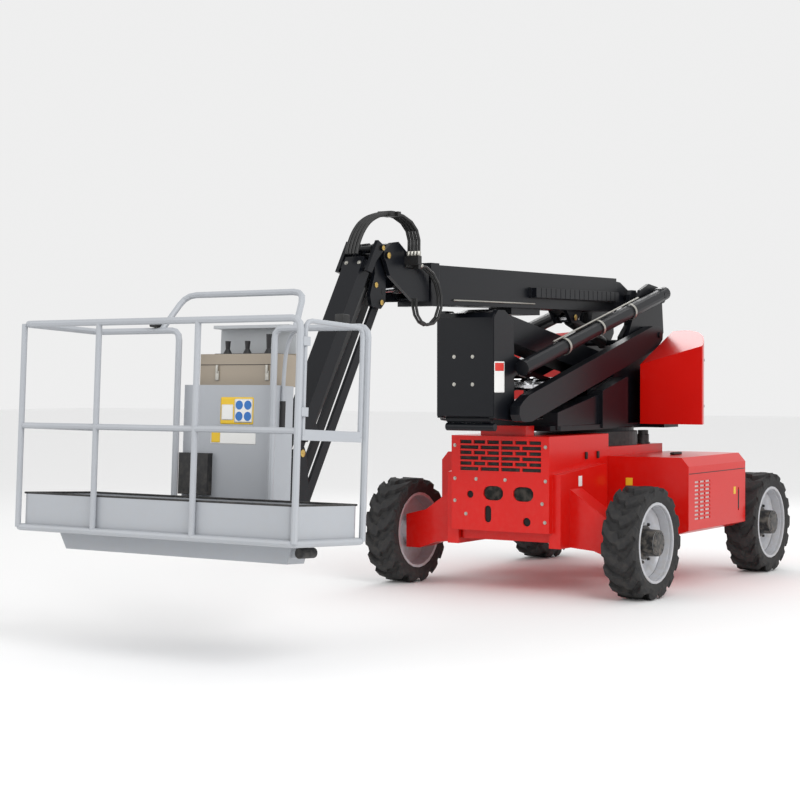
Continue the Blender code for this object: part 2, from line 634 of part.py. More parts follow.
upf = off(UPPER_FRONT, UPLINK_OFFSET)
adds.append(pin(upf, -0.22, 0.22, 0.02))
cuts = [bore(LOWER_FRONT, PIN_R), bore(lf, PIN_R)]
node("front_knuckle", BLACK, adds, cuts, origin=at(LOWER_FRONT))

# Upper arm, and its levelling link
up = [bore(UPPER_FRONT, PIN_R), bore(UPPER_REAR, PIN_R)]
node("upper_arm", BLACK, [bar(UPPER_FRONT, UPPER_REAR, UPPER_H, -UPPER_HALF, UPPER_HALF, 0.052, 0.075, run=0.12)],
     up, origin=at(UPPER_FRONT))
upr = off(UPPER_REAR, UPLINK_OFFSET)
node("upper_link", BLACK, [bar(upf, upr, 0.06, -0.11, -0.07)],
     [bore(upf, 0.02), bore(upr, 0.02)], origin=at(upf))

# Rear knuckle: twin plates up to the boom's heel
adds = []
for s in (1, -1):
    y0, y1 = sorted((s * (REARK_Y - REARK_T / 2), s * (REARK_Y + REARK_T / 2)))
    adds.append(plate([(-0.56, 1.40), (-0.42, 1.40), (-0.33, 1.62), (-0.24, 1.90), (-0.26, 2.00), (-0.38, 2.10), (-0.42, 2.36),
                       (-0.46, 2.40), (-0.53, 2.40), (-0.58, 2.34), (-0.60, 1.70)], y0, y1))
adds += [pin(UPPER_REAR, -REARK_Y, REARK_Y, PIN_R), pin(HEEL, -REARK_Y, REARK_Y, PIN_R),
         pin(LIFT_BASE, -REARK_Y, REARK_Y, PIN_R), pin(upr, -REARK_Y, REARK_Y, 0.02)]
node("rear_knuckle", BLACK, adds, origin=at(UPPER_REAR))

# Main boom, drawn along X from the heel pin and tipped nose down
hx, hz = HEEL
cz = hz + BOOM_RISE + BOOM_H / 2 - 0.13


NOSE_DOWN = (-BOOM_TILT, HEEL)
lift_flat = tip(LIFT_ROD, BOOM_TILT, HEEL)
x0, x1 = hx + BOOM_REAR, hx + BOOM_REAR + BOOM_LEN
adds = [box(x0, x1, -BOOM_HALF, BOOM_HALF, cz - BOOM_H / 2, cz + BOOM_H / 2),
        box(x1 - 0.10, x1 + 0.012, -BOOM_HALF - 0.012, BOOM_HALF + 0.012, cz - BOOM_H / 2 - 0.012, cz + BOOM_H / 2 + 0.012),
        box(1.0, 1.45, -0.10, 0.10, cz - BOOM_H / 2 - 0.05, cz - BOOM_H / 2 + 0.01),
        box(x0 + 0.04, 1.22, BOOM_HALF - 0.01, BOOM_HALF + 0.012, cz - 0.062, cz + 0.022)]
adds.append(gather([box(x0 + 0.064 + k * CHAIN_PITCH, x0 + 0.056 + (k + 1) * CHAIN_PITCH, BOOM_HALF + 0.008,
                        BOOM_HALF + 0.055, cz - 0.058, cz + 0.018) for k in range(CHAIN_LINKS)]))
for s in (1, -1):
    y0, y1 = sorted((s * 0.085, s * 0.125))
    adds.append(plate([(hx - 0.06, hz - 0.03), (hx + 0.02, hz - 0.06), (x0 + 0.05, cz - BOOM_H / 2 + 0.001),
                       (x0 + 0.05, cz + BOOM_H / 2 - 0.02), (hx + 0.12, cz + BOOM_H / 2 - 0.03), (hx - 0.06, hz + 0.05)], y0, y1))
    y0, y1 = sorted((s * 0.056, s * 0.084))
    lx, lz = lift_flat
    adds.append(plate([(lx - 0.045, lz - 0.045), (lx + 0.045, lz - 0.045), (lx + 0.16, cz - BOOM_H / 2 + 0.02),
                       (lx - 0.16, cz - BOOM_H / 2 + 0.02)], y0, y1))
    adds.append(pin(lift_flat, *sorted((s * 0.078, s * 0.092)), PIN_R))
fly_y, fly_h = FLY_HALF + PIN_GAP, FLY_H / 2 + PIN_GAP
cuts = [box(x0 - 0.02, x1 - 0.09, -BOOM_HALF + WALL, BOOM_HALF - WALL, cz - BOOM_H / 2 + WALL, cz + BOOM_H / 2 - WALL),
        box(x1 - 0.10, x1 + 0.05, -fly_y, fly_y, cz - fly_h, cz + fly_h),
        bore(HEEL, PIN_R)]
node("boom_outer", BLACK, adds, cuts, origin=at(HEEL), lean=NOSE_DOWN)

# Inner boom with the gooseneck head
fx = hx + FLY_FRONT
head = [tip(p, BOOM_TILT, HEEL) for p in (HEAD_PIN, LEVEL_BASE)]
hp, lb = head
fz0, fz1 = cz - FLY_H / 2, cz + FLY_H / 2
adds = [box(hx + FLY_REAR, fx, -FLY_HALF, FLY_HALF, fz0, fz1)]
inner = box(hx, fx + 0.05, -FLY_HALF + WALL, FLY_HALF - WALL, fz0 + WALL, fz1 - WALL)
combine(adds[0], [inner], "DIFFERENCE")
hs = hx + BOOM_REAR + BOOM_LEN + 0.03
for s in (1, -1):
    y0, y1 = sorted((s * HEAD_IN, s * HEAD_OUT))
    nose = [(hp[0] + HEAD_NOSE * math.cos(a), hp[1] + HEAD_NOSE * math.sin(a)) for a in (-1.1, -0.5, 0.1, 0.7, 1.3)]
    adds.append(plate(nose + [(hp[0] - 0.06, hp[1] + 0.09), (hp[0] - 0.14, hp[1] + 0.10), (hp[0] - 0.30, hp[1] + 0.0),
                              (hs, fz1 - 0.01), (hs, fz0 - 0.012), (fx + 0.13, fz0 - 0.018), (hp[0] - 0.03, hp[1] - 0.135)],
                      y0, y1))
    y0, y1 = sorted((s * (FLY_HALF - 0.004), s * (HEAD_IN + 0.004)))
    adds.append(box(hs + 0.002, fx - 0.002, y0, y1, fz0 + 0.02, fz1 - 0.02))
adds.append(plate([(hp[0] - 0.075, hp[1] + 0.060), (hp[0] - 0.07, hp[1] + 0.08), (hp[0] - 0.14, hp[1] + 0.092),
                   (hp[0] - 0.295, hp[1] - 0.005), (hp[0] - 0.29, hp[1] - 0.03), (hp[0] - 0.14, hp[1] + 0.062)],
                  -HEAD_IN - 0.005, HEAD_IN + 0.005))
adds.append(pin(lb, -FLY_HALF + 0.004, FLY_HALF - 0.004, 0.018))
cuts = [bore(hp, 0.022)]
node("boom_inner", BLACK, adds, cuts, origin=at(HEEL), lean=NOSE_DOWN)

# Jib knuckle: twin plates, three pins across and stubs for the links
jv = Vector(JIB_VEC)
ju = jv.normalized()
jn = Vector((ju.y, -ju.x))       # from the beam towards the link
basket_top = off(JIB_PIN, JIB_VEC)
basket_low = off(JLINK_PIN, JIB_VEC)
adds = []
for s in (1, -1):
    y0, y1 = sorted((s * KN_IN, s * KN_OUT))
    adds.append(plate(round_loop([(3.165, 2.45), (3.172, 2.52), (3.26, 2.568), (3.305, 2.545), (3.285, 2.36), (3.345, 2.21),
                                  (3.325, 2.135), (3.215, 2.120), (3.16, 2.17), (3.155, 2.26)], 0.02, 2), y0, y1))
for p, r, y in ((HEAD_PIN, 0.022, HEAD_OUT + 0.012), (JIB_PIN, 0.018, HEAD_OUT + 0.008),
                (JCYL_PIN, 0.02, KN_OUT + 0.002)):
    adds.append(pin(p, -y, y, r))
for s in (1, -1):
    adds.append(pin(LEVEL_PIN, *sorted((s * (KN_OUT - 0.01), s * (KN_OUT + 0.002))), 0.02))
    adds.append(pin(JLINK_PIN, *sorted((s * (LK_IN - 0.001), s * (KN_OUT + 0.004))), 0.02))     # stubs, clear of the rams
node("jib_knuckle", BLACK, adds, origin=at(HEAD_PIN))

# Jib beam, with ears at both ends, and the twin links under it
jb, jt = Vector(JIB_PIN), Vector(basket_top)
rod_pin = tuple(jb + ju * JCYL_S + jn * JCYL_N)


def along(c, *sn):
    return [tuple(c + ju * a + jn * b) for a, b in sn]


fr, bk = -JIB_FRONT, JIB_BACK
adds = [plate(along(jb, (0.12, fr), (jv.length - 0.10, fr), (jv.length - 0.10, bk), (0.12, bk)), -JIB_HALF, JIB_HALF)]
for s in (1, -1):
    y0, y1 = sorted((s * HEAD_IN, s * (HEAD_OUT - 0.003)))
    e = JIB_EAR
    adds.append(plate(along(jb, (-e, 0), (-e * 0.7, e * 0.7), (0, e), (0.05, 0.012), (0.12, -0.01), (0.21, -0.01), (0.23, -0.065),
                            (-0.02, -0.065)), y0, y1))
    y0, y1 = sorted((s * (JIB_HALF - 0.005), s * (HEAD_IN + 0.005)))
    adds.append(plate(along(jb, (0.14, -0.015), (0.20, -0.015), (0.20, -0.06), (0.14, -0.06)), y0, y1))
    y0, y1 = sorted((s * LK_IN, s * LK_OUT))
    adds.append(bar(jt - ju * 0.14, jt, 0.068, y0, y1))
    y0, y1 = sorted((s * 0.034, s * 0.056))
    c = jb + ju * JCYL_S
    adds.append(plate(along(c, (-0.09, bk - 0.01), (0.06, bk - 0.01), (0.035, JCYL_N + 0.028), (-0.035, JCYL_N + 0.028)), y0, y1))
    adds.append(pin(rod_pin, *sorted((s * 0.05, s * 0.060)), 0.018))
node("jib_beam", BLACK, adds, [bore(JIB_PIN, 0.018), bore(basket_top, PIN_R)],
     origin=at(JIB_PIN))
adds = []
for s in (1, -1):
    y0, y1 = sorted((s * LK_IN, s * LK_OUT))
    adds.append(bar(JLINK_PIN, basket_low, 0.07, y0, y1))
mid = Vector(JLINK_PIN) + jv * 0.93
adds.append(pin(tuple(mid), -0.05, 0.05, 0.022))
node("jib_link", BLACK, adds, [bore(JLINK_PIN, 0.02), bore(basket_low, 0.02)],
     origin=at(JLINK_PIN))


def ram(name, base, rod, r, y=0.0, base_r=0.02, rod_r=0.02, wide=0.055, reach=0.05, back=0.0):
    """A barrel from its base pin and a rod whose eye carries its own pin, reach to each side.
    Where the rod slides in from rest, its inner end and the barrel's mouth leave it that much room."""
    b, e = Vector((base[0], y, base[1])), Vector((rod[0], y, rod[1]))
    d = (e - b).normalized()
    length = (e - b).length
    tip_eye = rod_r + 0.014
    mouth = b + d * (length - tip_eye - 0.03 - back)
    eye = base_r + 0.022
    barrel = node(name + "_barrel", DARK, [
        cyl(b + d * (eye * 0.5), mouth, r, 20),
        pin(base, y - wide / 2, y + wide / 2, eye)],
        [bore(base, base_r), cyl(b + d * (eye + 0.03), mouth + d * 0.02, r * 0.5 + PIN_GAP, 16)],
        origin=b)
    node(name + "_rod", STEEL, [
        cyl(b + d * (eye + 0.035 + back), e - d * (tip_eye * 0.5), r * 0.5, 16),
        pin(rod, y - wide / 2, y + wide / 2, tip_eye),
        pin(rod, y - reach, y + reach, rod_r)], origin=e)
    return barrel


ram("riser_ram", RISER_BASE, RISER_ROD, 0.055, base_r=PIN_R, rod_r=0.045, wide=0.08, reach=ARM_IN - 0.006)
ram("lift_ram", LIFT_BASE, LIFT_ROD, 0.048, base_r=PIN_R, rod_r=PIN_R, wide=0.06, reach=0.050)
ram("level_ram", LEVEL_BASE, LEVEL_PIN, 0.030, base_r=0.018, rod_r=0.02, wide=0.05, reach=KN_IN - 0.003, back=LEVEL_STROKE)
ram("jib_ram", JCYL_PIN, rod_pin, 0.030, base_r=0.02, rod_r=0.018, wide=0.05, reach=0.031)


def bundle(route, count, pitch, r, clamps):
    """Hoses side by side along a route, with a block across them at each clamp point."""
    solids = []
    for k in range(count):
        y = (k - (count - 1) / 2) * pitch
        solids.append(tube([(p[0], p[1] + y, p[2]) for p in route], r, res=1))
    for (x, y, z), (dx, dz) in clamps:
        w = (count - 1) / 2 * pitch + r + 0.004
        solids.append(box(x - dx, x + dx, y - w, y + w, z - dz, z + dz))
    return solids


# Hoses from the block on the head's near side: an arch over the jib's top, in two lengths that meet in a clamp
HOSE_R = 0.0125
head_side = HEAD_OUT + GAP
wide = 1.5 * 0.027 + HOSE_R + 0.004
HOSE_Y = head_side + wide
ARCH = [(2.975, HOSE_Y, 2.470), (2.963, HOSE_Y, 2.53), (2.962, HOSE_Y, 2.60), (2.975, HOSE_Y - 0.01, 2.665),
        (3.010, HOSE_Y - 0.03, 2.720), (3.062, HOSE_Y - 0.06, 2.757), (3.125, HOSE_Y - 0.09, 2.772),
        (3.190, HOSE_Y - 0.12, 2.768), (3.255, HOSE_Y - 0.15, 2.744), (3.312, HOSE_Y - 0.17, 2.706),
        (3.360, HOSE_Y - 0.18, 2.655), (3.398, HOSE_Y - 0.185, 2.598), (3.425, HOSE_Y - 0.188, 2.54),
        (3.440, HOSE_Y - 0.190, 2.485)]
crown = 6
x, y, z = ARCH[crown]
head_hoses = (bundle(ARCH[:crown] + [(x - 0.030, y + 0.014, z - 0.005)], 4, 0.027, HOSE_R,
                      [((2.975, HOSE_Y, 2.460), (0.022, 0.030)), ((x - 0.019, y + 0.009, z - 0.002), (0.018, 0.017))]))
node("hose_arch", HOSE, bundle([(x + 0.030, y - 0.014, z - 0.001)] + ARCH[crown + 1:], 4, 0.027, HOSE_R,
                               [((x + 0.0178, y - 0.009, z - 0.002), (0.0185, 0.017))]), origin=ARCH[-1])

# Two hoses that loop down beside the inner boom's front and back up to the head's underside
LOOP = [(2.890, 2.430), (2.800, 2.425), (2.715, 2.385), (2.650, 2.315), (2.618, 2.230), (2.625, 2.145), (2.672, 2.075),
        (2.745, 2.032), (2.830, 2.020), (2.905, 2.040), (2.962, 2.085), (2.990, 2.145), (2.995, 2.200)]
LOOP_Y = head_side + 0.026 + 0.008
head_hoses += bundle([(x, LOOP_Y + 0.004 * k, z) for k, (x, z) in enumerate(LOOP)], 2, 0.027, 0.0105,
                     [((2.895, LOOP_Y, 2.430), (0.016, 0.022))])
head_hoses.append(box(2.884, 2.990, head_side + 0.001, head_side + 0.014, 2.415, 2.485))
node("head_hoses", HOSE, head_hoses, origin=(2.895, LOOP_Y, 2.43))

# Basket mount with the turning actuator's housing
BACK = (BASKET_TILT, basket_low)
tt, tl = tip(basket_top, -BASKET_TILT, basket_low), basket_low
adds = [cyl((TURN_X, 0, ACT_LOW), (TURN_X, 0, ACT_HIGH), 0.105, 28),
        box(4.235, TURN_X, -0.10, 0.10, 0.70, 0.98)]
for s in (1, -1):
    y0, y1 = sorted((s * KN_IN, s * KN_OUT))
    adds.append(plate([(tl[0] - 0.045, tl[1] - 0.03), (tl[0] + 0.03, tl[1] - 0.06), (4.25, 0.72), (4.25, 0.97), (tt[0] + 0.06, tt[1] + 0.03),
                       (tt[0] - 0.02, tt[1] + 0.045), (tt[0] - 0.045, tt[1])], y0, y1))
adds.append(pin(tt, -KN_OUT - 0.004, KN_OUT + 0.004, PIN_R))
adds.append(pin(tl, -KN_OUT - 0.004, KN_OUT + 0.004, 0.02))
node("basket_mount", BLACK, adds, origin=at(basket_top), lean=BACK)

# Control console with the flanges that turn on the actuator
adds = [box(CONSOLE_REAR, CONSOLE_FRONT, -CONSOLE_HALF, CONSOLE_HALF, 0.73, CONSOLE_TOP),
        box(CONSOLE_FRONT - 0.01, BK_REAR - RAIL_R - GAP, -0.30, 0.30, BK_LOW - 0.014, BK_LOW + 0.08),
        box(TURN_X - 0.08, CONSOLE_REAR + 0.02, -0.09, 0.09, ACT_HIGH + GAP, ACT_HIGH + 0.03),
        box(TURN_X - 0.08, CONSOLE_REAR + 0.02, -0.09, 0.09, ACT_LOW - 0.03, ACT_LOW - GAP),
        box(CONSOLE_REAR, CONSOLE_REAR + 0.03, -0.20, 0.20, 0.630, 0.80)]
node("console", GREY, adds, origin=at(tl), lean=BACK)

# Control box with its open lid behind
bx = BOX_C
adds = [box(bx[0], bx[1], -bx[2], bx[2], CONSOLE_TOP + GAP, bx[4]),
        box(bx[0] - 0.02, bx[0] + 0.012, -bx[2] + 0.005, bx[2] - 0.005, 1.60, 1.955),
        box(bx[0] - 0.02, bx[0] + 0.09, -bx[2] + 0.005, bx[2] - 0.005, 1.935, 1.955)]
node("control_box", BEIGE, adds, origin=at(tl), lean=BACK)

# Joysticks on their strip
js = bx[4] + GAP
adds = [box(bx[0] + 0.08, bx[0] + 0.15, -0.23, 0.25, js, js + 0.006)]
for y, tall in ((-0.155, 0.085), (0.0, 0.085), (0.165, 0.125)):
    x = bx[0] + 0.115
    adds += [cyl((x, y, js + 0.004), (x, y, js + 0.035), 0.030, 12, 0.014),
             cyl((x, y, js + 0.030), (x, y, js + tall), 0.013, 10, 0.018)]
node("joysticks", DARK, adds, origin=at(tl), lean=BACK)

# Document box on the console's front
dx = CONSOLE_FRONT + GAP
adds = [box(dx, dx + 0.045, -0.345, -0.115, 0.90, 1.155)]
cuts = [box(dx + 0.006, dx + 0.039, -0.337, -0.123, 0.92, 1.20)]
node("document_box", DARK, adds, cuts, origin=at(tl), lean=BACK)

# Basket frame of round tube
f, r, h, lo, mi, hi = BK_FRONT, BK_REAR, BK_HALF, BK_LOW, BK_MID, BK_TOP
adds = [tube([(f, 0, lo), (f, h, lo), (r, h, lo), (r, -h, lo), (f, -h, lo)], RAIL_R, bend=0.03, n=2, closed=True),
        tube([(f, h, lo), (f, h, hi), (f, -h, hi), (r, -h, hi), (r, -0.372, hi), (r, -0.372, lo)], RAIL_R, bend=0.06, n=3),
        tube([(r, 0.372, lo), (r, 0.372, hi), (r, h, hi), (r, h, lo)], RAIL_R, bend=0.06, n=3),
        tube([(r, -h, mi), (f, -h, mi), (f, h, mi)], RAIL_R * 0.9, bend=0.03, n=2),
        tube([(r - 0.005, 0.52, hi + 0.005), (r - 0.16, 0.46, hi + 0.234), (r - 0.16, -0.46, hi + 0.234), (r - 0.005, -0.52, hi + 0.005)],
             RAIL_R, bend=0.08, n=3)]
for x, y in ((f, -h), (f, -0.434), (f, 0.322), (r, -h)):
    adds.append(cyl((x, y, lo), (x, y, hi), RAIL_R * 0.92, 12))
gx0, gx1 = f - 0.045, r + 0.055         # the gate's ends
gz0, gz1 = mi - 0.02, hi - 0.01
cuts = []
for z in (gz0 + 0.10, gz1 - 0.14):      # the gate's hinge collars on the front post
    adds.append(box(gx0 - 0.021, f - 0.005, h - 0.021, h + 0.021, z, z + 0.05))
    cuts.append(cyl((gx0, h, z - 0.02), (gx0, h, z + 0.07), GATE_R + PIN_GAP, 16))
node("basket_frame", GREY, adds, cuts, origin=at(tl), lean=BACK)

# Basket floor with toe boards and the beam under it
i = RAIL_R + GAP
t = 0.006


def tray(e, z0, z1, round_r):
    loop = [(f - e, h - e), (r + e, h - e), (r + e, -h + e), (f - e, -h + e)]
    return plate(round_loop(loop, round_r, 2), z0, z1, "Z")


adds = [tray(i, lo, TOE_TOP, 0.035),
        plate([(-0.90, lo + 0.01), (0.90, lo + 0.01), (0.86, 0.55), (-0.82, 0.55)], 5.13, 5.29, "X")]
cuts = [tray(i + t, lo + 0.03, TOE_TOP + 0.1, 0.03)]
node("basket_floor", GREY, adds, cuts, origin=at(tl), lean=BACK)

# Gate in the left side, hinged on the front post
adds = [tube([(gx0, h, gz0), (gx0, h, gz1), (gx1, h, gz1), (gx1, h, gz0)], GATE_R, bend=0.06, n=3),
        box(gx1 - 0.012, gx0 + 0.012, h - 0.010, h + 0.010, gz0 - 0.03, gz0 + 0.03)]
gx, gz = tip((gx0, gz0), BASKET_TILT, basket_low)
node("gate", GREY, adds, origin=(gx, h, gz), lean=BACK)

for c in list(CUTTERS.objects):
    c.hide_render = True
    c.display_type = "WIRE"
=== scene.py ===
"""Articulating boom lift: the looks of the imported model, in metres, +X towards the basket, +Z up."""
import math

import bmesh
import bpy
import numpy as np

from mathutils.bvhtree import BVHTree
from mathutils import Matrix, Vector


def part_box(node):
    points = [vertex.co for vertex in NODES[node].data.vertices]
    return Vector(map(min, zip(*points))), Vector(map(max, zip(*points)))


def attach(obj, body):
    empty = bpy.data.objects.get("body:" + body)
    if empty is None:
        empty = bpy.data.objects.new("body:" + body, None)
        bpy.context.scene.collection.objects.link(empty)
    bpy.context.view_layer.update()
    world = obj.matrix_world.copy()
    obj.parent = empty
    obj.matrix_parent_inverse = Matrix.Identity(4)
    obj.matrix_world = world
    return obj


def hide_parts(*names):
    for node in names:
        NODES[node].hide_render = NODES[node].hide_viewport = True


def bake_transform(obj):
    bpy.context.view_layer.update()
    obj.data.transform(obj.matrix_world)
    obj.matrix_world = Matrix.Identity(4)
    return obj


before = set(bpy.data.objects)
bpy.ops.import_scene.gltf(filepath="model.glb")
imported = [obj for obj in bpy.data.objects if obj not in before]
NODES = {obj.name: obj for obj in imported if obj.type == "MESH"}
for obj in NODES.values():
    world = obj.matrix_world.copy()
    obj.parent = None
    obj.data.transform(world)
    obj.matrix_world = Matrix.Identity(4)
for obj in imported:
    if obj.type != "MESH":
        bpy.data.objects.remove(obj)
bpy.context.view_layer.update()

# The camera stands where the photograph's did, left of the machine's nose at an adult's eye height.
# Its place and lens come from fitting the wheels, the chassis box and the basket.
CAMERA_PLACE = (11.1357, 6.732, 1.655)
CAMERA_YAW, CAMERA_PITCH = math.radians(33.28), math.radians(-0.73)
camera_data = bpy.data.cameras.new("camera")
camera_data.sensor_width = 36.0
camera_data.lens = 78.87
camera_data.clip_end = 200.0
camera = bpy.data.objects.new("camera", camera_data)
bpy.context.scene.collection.objects.link(camera)
camera.location = CAMERA_PLACE
camera.rotation_euler = (math.pi / 2 + CAMERA_PITCH, 0.0, math.pi / 2 + CAMERA_YAW)
bpy.context.scene.camera = camera

# A plain white floor and world, with a large soft light over the camera's left shoulder, a weaker
# one from the right and a strip behind, as in a bright photo studio.
world = bpy.data.worlds.new("studio")
world.use_nodes = True
world.node_tree.nodes["Background"].inputs["Color"].default_value = (1.0, 1.0, 1.0, 1.0)
world.node_tree.nodes["Background"].inputs["Strength"].default_value = 0.86
bpy.context.scene.world = world
bpy.context.scene.view_settings.view_transform = "Standard"


def area_light(name, place, aim, size, power):
    data = bpy.data.lights.new(name, "AREA")
    data.shape = "RECTANGLE"
    data.size, data.size_y = size
    data.energy = power
    ob = bpy.data.objects.new(name, data)
    bpy.context.scene.collection.objects.link(ob)
    ob.location = place
    look = np.array(aim, float) - np.array(place, float)
    ob.rotation_euler = (math.atan2(math.hypot(look[0], look[1]), -look[2]), 0.0,
                         math.atan2(look[1], look[0]) - math.pi / 2)
    return ob


area_light("key", (6.0, 9.0, 8.0), (-1.0, 0.0, 1.2), (6.0, 5.0), 620.0)
area_light("fill", (9.0, -6.0, 5.0), (0.0, 0.0, 1.2), (5.0, 4.0), 120.0)
area_light("back", (-9.0, -3.0, 6.0), (-1.5, 0.0, 1.2), (6.0, 3.0), 160.0)


def sheet_mesh(name, x, y, z, material=None):
    """A grid surface whose corner k, l is at x[k, l], y[k, l], z[k, l]."""
    rows, cols = x.shape
    k, l = np.meshgrid(np.arange(rows - 1), np.arange(cols - 1), indexing="ij")
    a = (k * cols + l).ravel()
    faces = np.stack([a, a + 1, a + cols + 1, a + cols], axis=1)
    me = bpy.data.meshes.new(name)
    me.from_pydata(np.stack([x.ravel(), y.ravel(), z.ravel()], axis=1).tolist(), [], faces[:, ::-1].tolist())
    ob = bpy.data.objects.new(name, me)
    bpy.context.scene.collection.objects.link(ob)
    if material:
        me.materials.append(material)
    return ob


def plain(name, colour, rough, **sockets):
    """A Principled material with its constant values set on its own sockets."""
    m = bpy.data.materials.new(name)
    m.use_nodes = True
    p = m.node_tree.nodes["Principled BSDF"]
    p.inputs["Base Color"].default_value = (*colour, 1.0)
    p.inputs["Roughness"].default_value = rough
    for key, value in sockets.items():
        p.inputs[key.replace("_", " ")].default_value = value
    return m


edge = np.array([-60.0, 60.0])
gx, gy = np.meshgrid(edge, edge, indexing="ij")
floor = sheet_mesh("floor", gx, gy, gx * 0.0 - 0.001, plain("floor_white", (0.93, 0.93, 0.93), 0.8))

# The chassis, side boxes and tail hood are folded and welded steel plate under a red gloss two-pack
# paint. Sprayed paint has a fine orange peel, thins on the plate edges and collects dust low down.


def shader_group(name, inputs, outputs):
    """An empty shader group with named sockets, its input and output nodes and its tree."""
    tree = bpy.data.node_groups.new(name, "ShaderNodeTree")
    for key, kind, value in inputs:
        s = tree.interface.new_socket(key, in_out="INPUT", socket_type="NodeSocket" + kind)
        if value is not None:
            s.default_value = value
    for key, kind in outputs:
        tree.interface.new_socket(key, in_out="OUTPUT", socket_type="NodeSocket" + kind)
    return tree, tree.nodes.new("NodeGroupInput"), tree.nodes.new("NodeGroupOutput")


def math_node(tree, operation, a, b=None, clamp=False):
    n = tree.nodes.new("ShaderNodeMath")
    n.operation = operation
    n.use_clamp = clamp
    for k, v in enumerate((a, b)):
        if isinstance(v, (int, float)):
            n.inputs[k].default_value = v
        elif v is not None:
            tree.links.new(v, n.inputs[k])
    return n.outputs[0]


def noise(tree, vector, scale, detail=3.0):
    n = tree.nodes.new("ShaderNodeTexNoise")
    n.inputs["Scale"].default_value = scale
    n.inputs["Detail"].default_value = detail
    tree.links.new(vector, n.inputs["Vector"])
    return n.outputs["Fac"]


def ramp(tree, value, low, high):
    n = tree.nodes.new("ShaderNodeMapRange")
    n.inputs["From Min"].default_value, n.inputs["From Max"].default_value = low, high
    tree.links.new(value, n.inputs["Value"])
    return n.outputs["Result"]


def blend_colour(tree, fac, a, b):
    n = tree.nodes.new("ShaderNodeMix")
    n.data_type = "RGBA"
    for socket, v in ((n.inputs["Factor"], fac), (n.inputs["A"], a), (n.inputs["B"], b)):
        if isinstance(v, bpy.types.NodeSocket):
            tree.links.new(v, socket)
        else:
            socket.default_value = v
    return n.outputs["Result"]


film, film_in, film_out = shader_group(
    "sprayed film",
    [("Vector", "Vector", None), ("Paint", "Color", (0.5, 0.5, 0.5, 1)),
     ("Dust Colour", "Color", (0.42, 0.37, 0.31, 1)),
     ("Dust", "Float", 0.2), ("Gloss Roughness", "Float", 0.35), ("Edge Radius", "Float", 0.004),
     ("Edge Wear", "Float", 0.25), ("Peel", "Float", 0.05)],
    [("Color", "Color"), ("Roughness", "Float"), ("Normal", "Vector")])
cloudy = noise(film, film_in.outputs["Vector"], 2.2, 5.0)
fine = noise(film, film_in.outputs["Vector"], 140.0, 2.0)
split = film.nodes.new("ShaderNodeSeparateXYZ")
film.links.new(film_in.outputs["Vector"], split.inputs[0])
low_down = math_node(film, "SUBTRACT", 1.0, ramp(film, split.outputs["Z"], 0.15, 1.3))
speckle = ramp(film, noise(film, film_in.outputs["Vector"], 26.0, 6.0), 0.42, 0.66)
dust = math_node(film, "MULTIPLY", math_node(film, "MULTIPLY", low_down, speckle), film_in.outputs["Dust"],
                 clamp=True)
bevel = film.nodes.new("ShaderNodeBevel")
bevel.samples = 4
film.links.new(film_in.outputs["Edge Radius"], bevel.inputs["Radius"])
geometry = film.nodes.new("ShaderNodeNewGeometry")
dot = film.nodes.new("ShaderNodeVectorMath")
dot.operation = "DOT_PRODUCT"
film.links.new(bevel.outputs["Normal"], dot.inputs[0])
film.links.new(geometry.outputs["True Normal"], dot.inputs[1])
edge_mask = ramp(film, math_node(film, "SUBTRACT", 1.0, dot.outputs["Value"]), 0.03, 0.25)
wear = math_node(film, "MULTIPLY", math_node(film, "MULTIPLY", edge_mask, speckle),
                 film_in.outputs["Edge Wear"], clamp=True)
shade = math_node(film, "ADD", math_node(film, "MULTIPLY", cloudy, 0.16), 0.92)
tinted = film.nodes.new("ShaderNodeVectorMath")
tinted.operation = "SCALE"
film.links.new(film_in.outputs["Paint"], tinted.inputs[0])
film.links.new(shade, tinted.inputs["Scale"])
dusted = blend_colour(film, dust, tinted.outputs[0], film_in.outputs["Dust Colour"])
pale = film.nodes.new("ShaderNodeVectorMath")
pale.operation = "MULTIPLY_ADD"
pale.inputs[1].default_value = (1.4, 1.4, 1.4)
pale.inputs[2].default_value = (0.06, 0.06, 0.06)
film.links.new(film_in.outputs["Paint"], pale.inputs[0])
film.links.new(blend_colour(film, wear, dusted, pale.outputs[0]), film_out.inputs["Color"])
rough = math_node(film, "ADD", film_in.outputs["Gloss Roughness"], math_node(film, "MULTIPLY", dust, 0.45))
film.links.new(math_node(film, "ADD", rough, math_node(film, "MULTIPLY", fine, 0.05), clamp=True),
               film_out.inputs["Roughness"])
peel = film.nodes.new("ShaderNodeBump")
peel.inputs["Distance"].default_value = 0.0004
film.links.new(film_in.outputs["Peel"], peel.inputs["Strength"])
film.links.new(fine, peel.inputs["Height"])
film.links.new(bevel.outputs["Normal"], peel.inputs["Normal"])
film.links.new(peel.outputs["Normal"], film_out.inputs["Normal"])


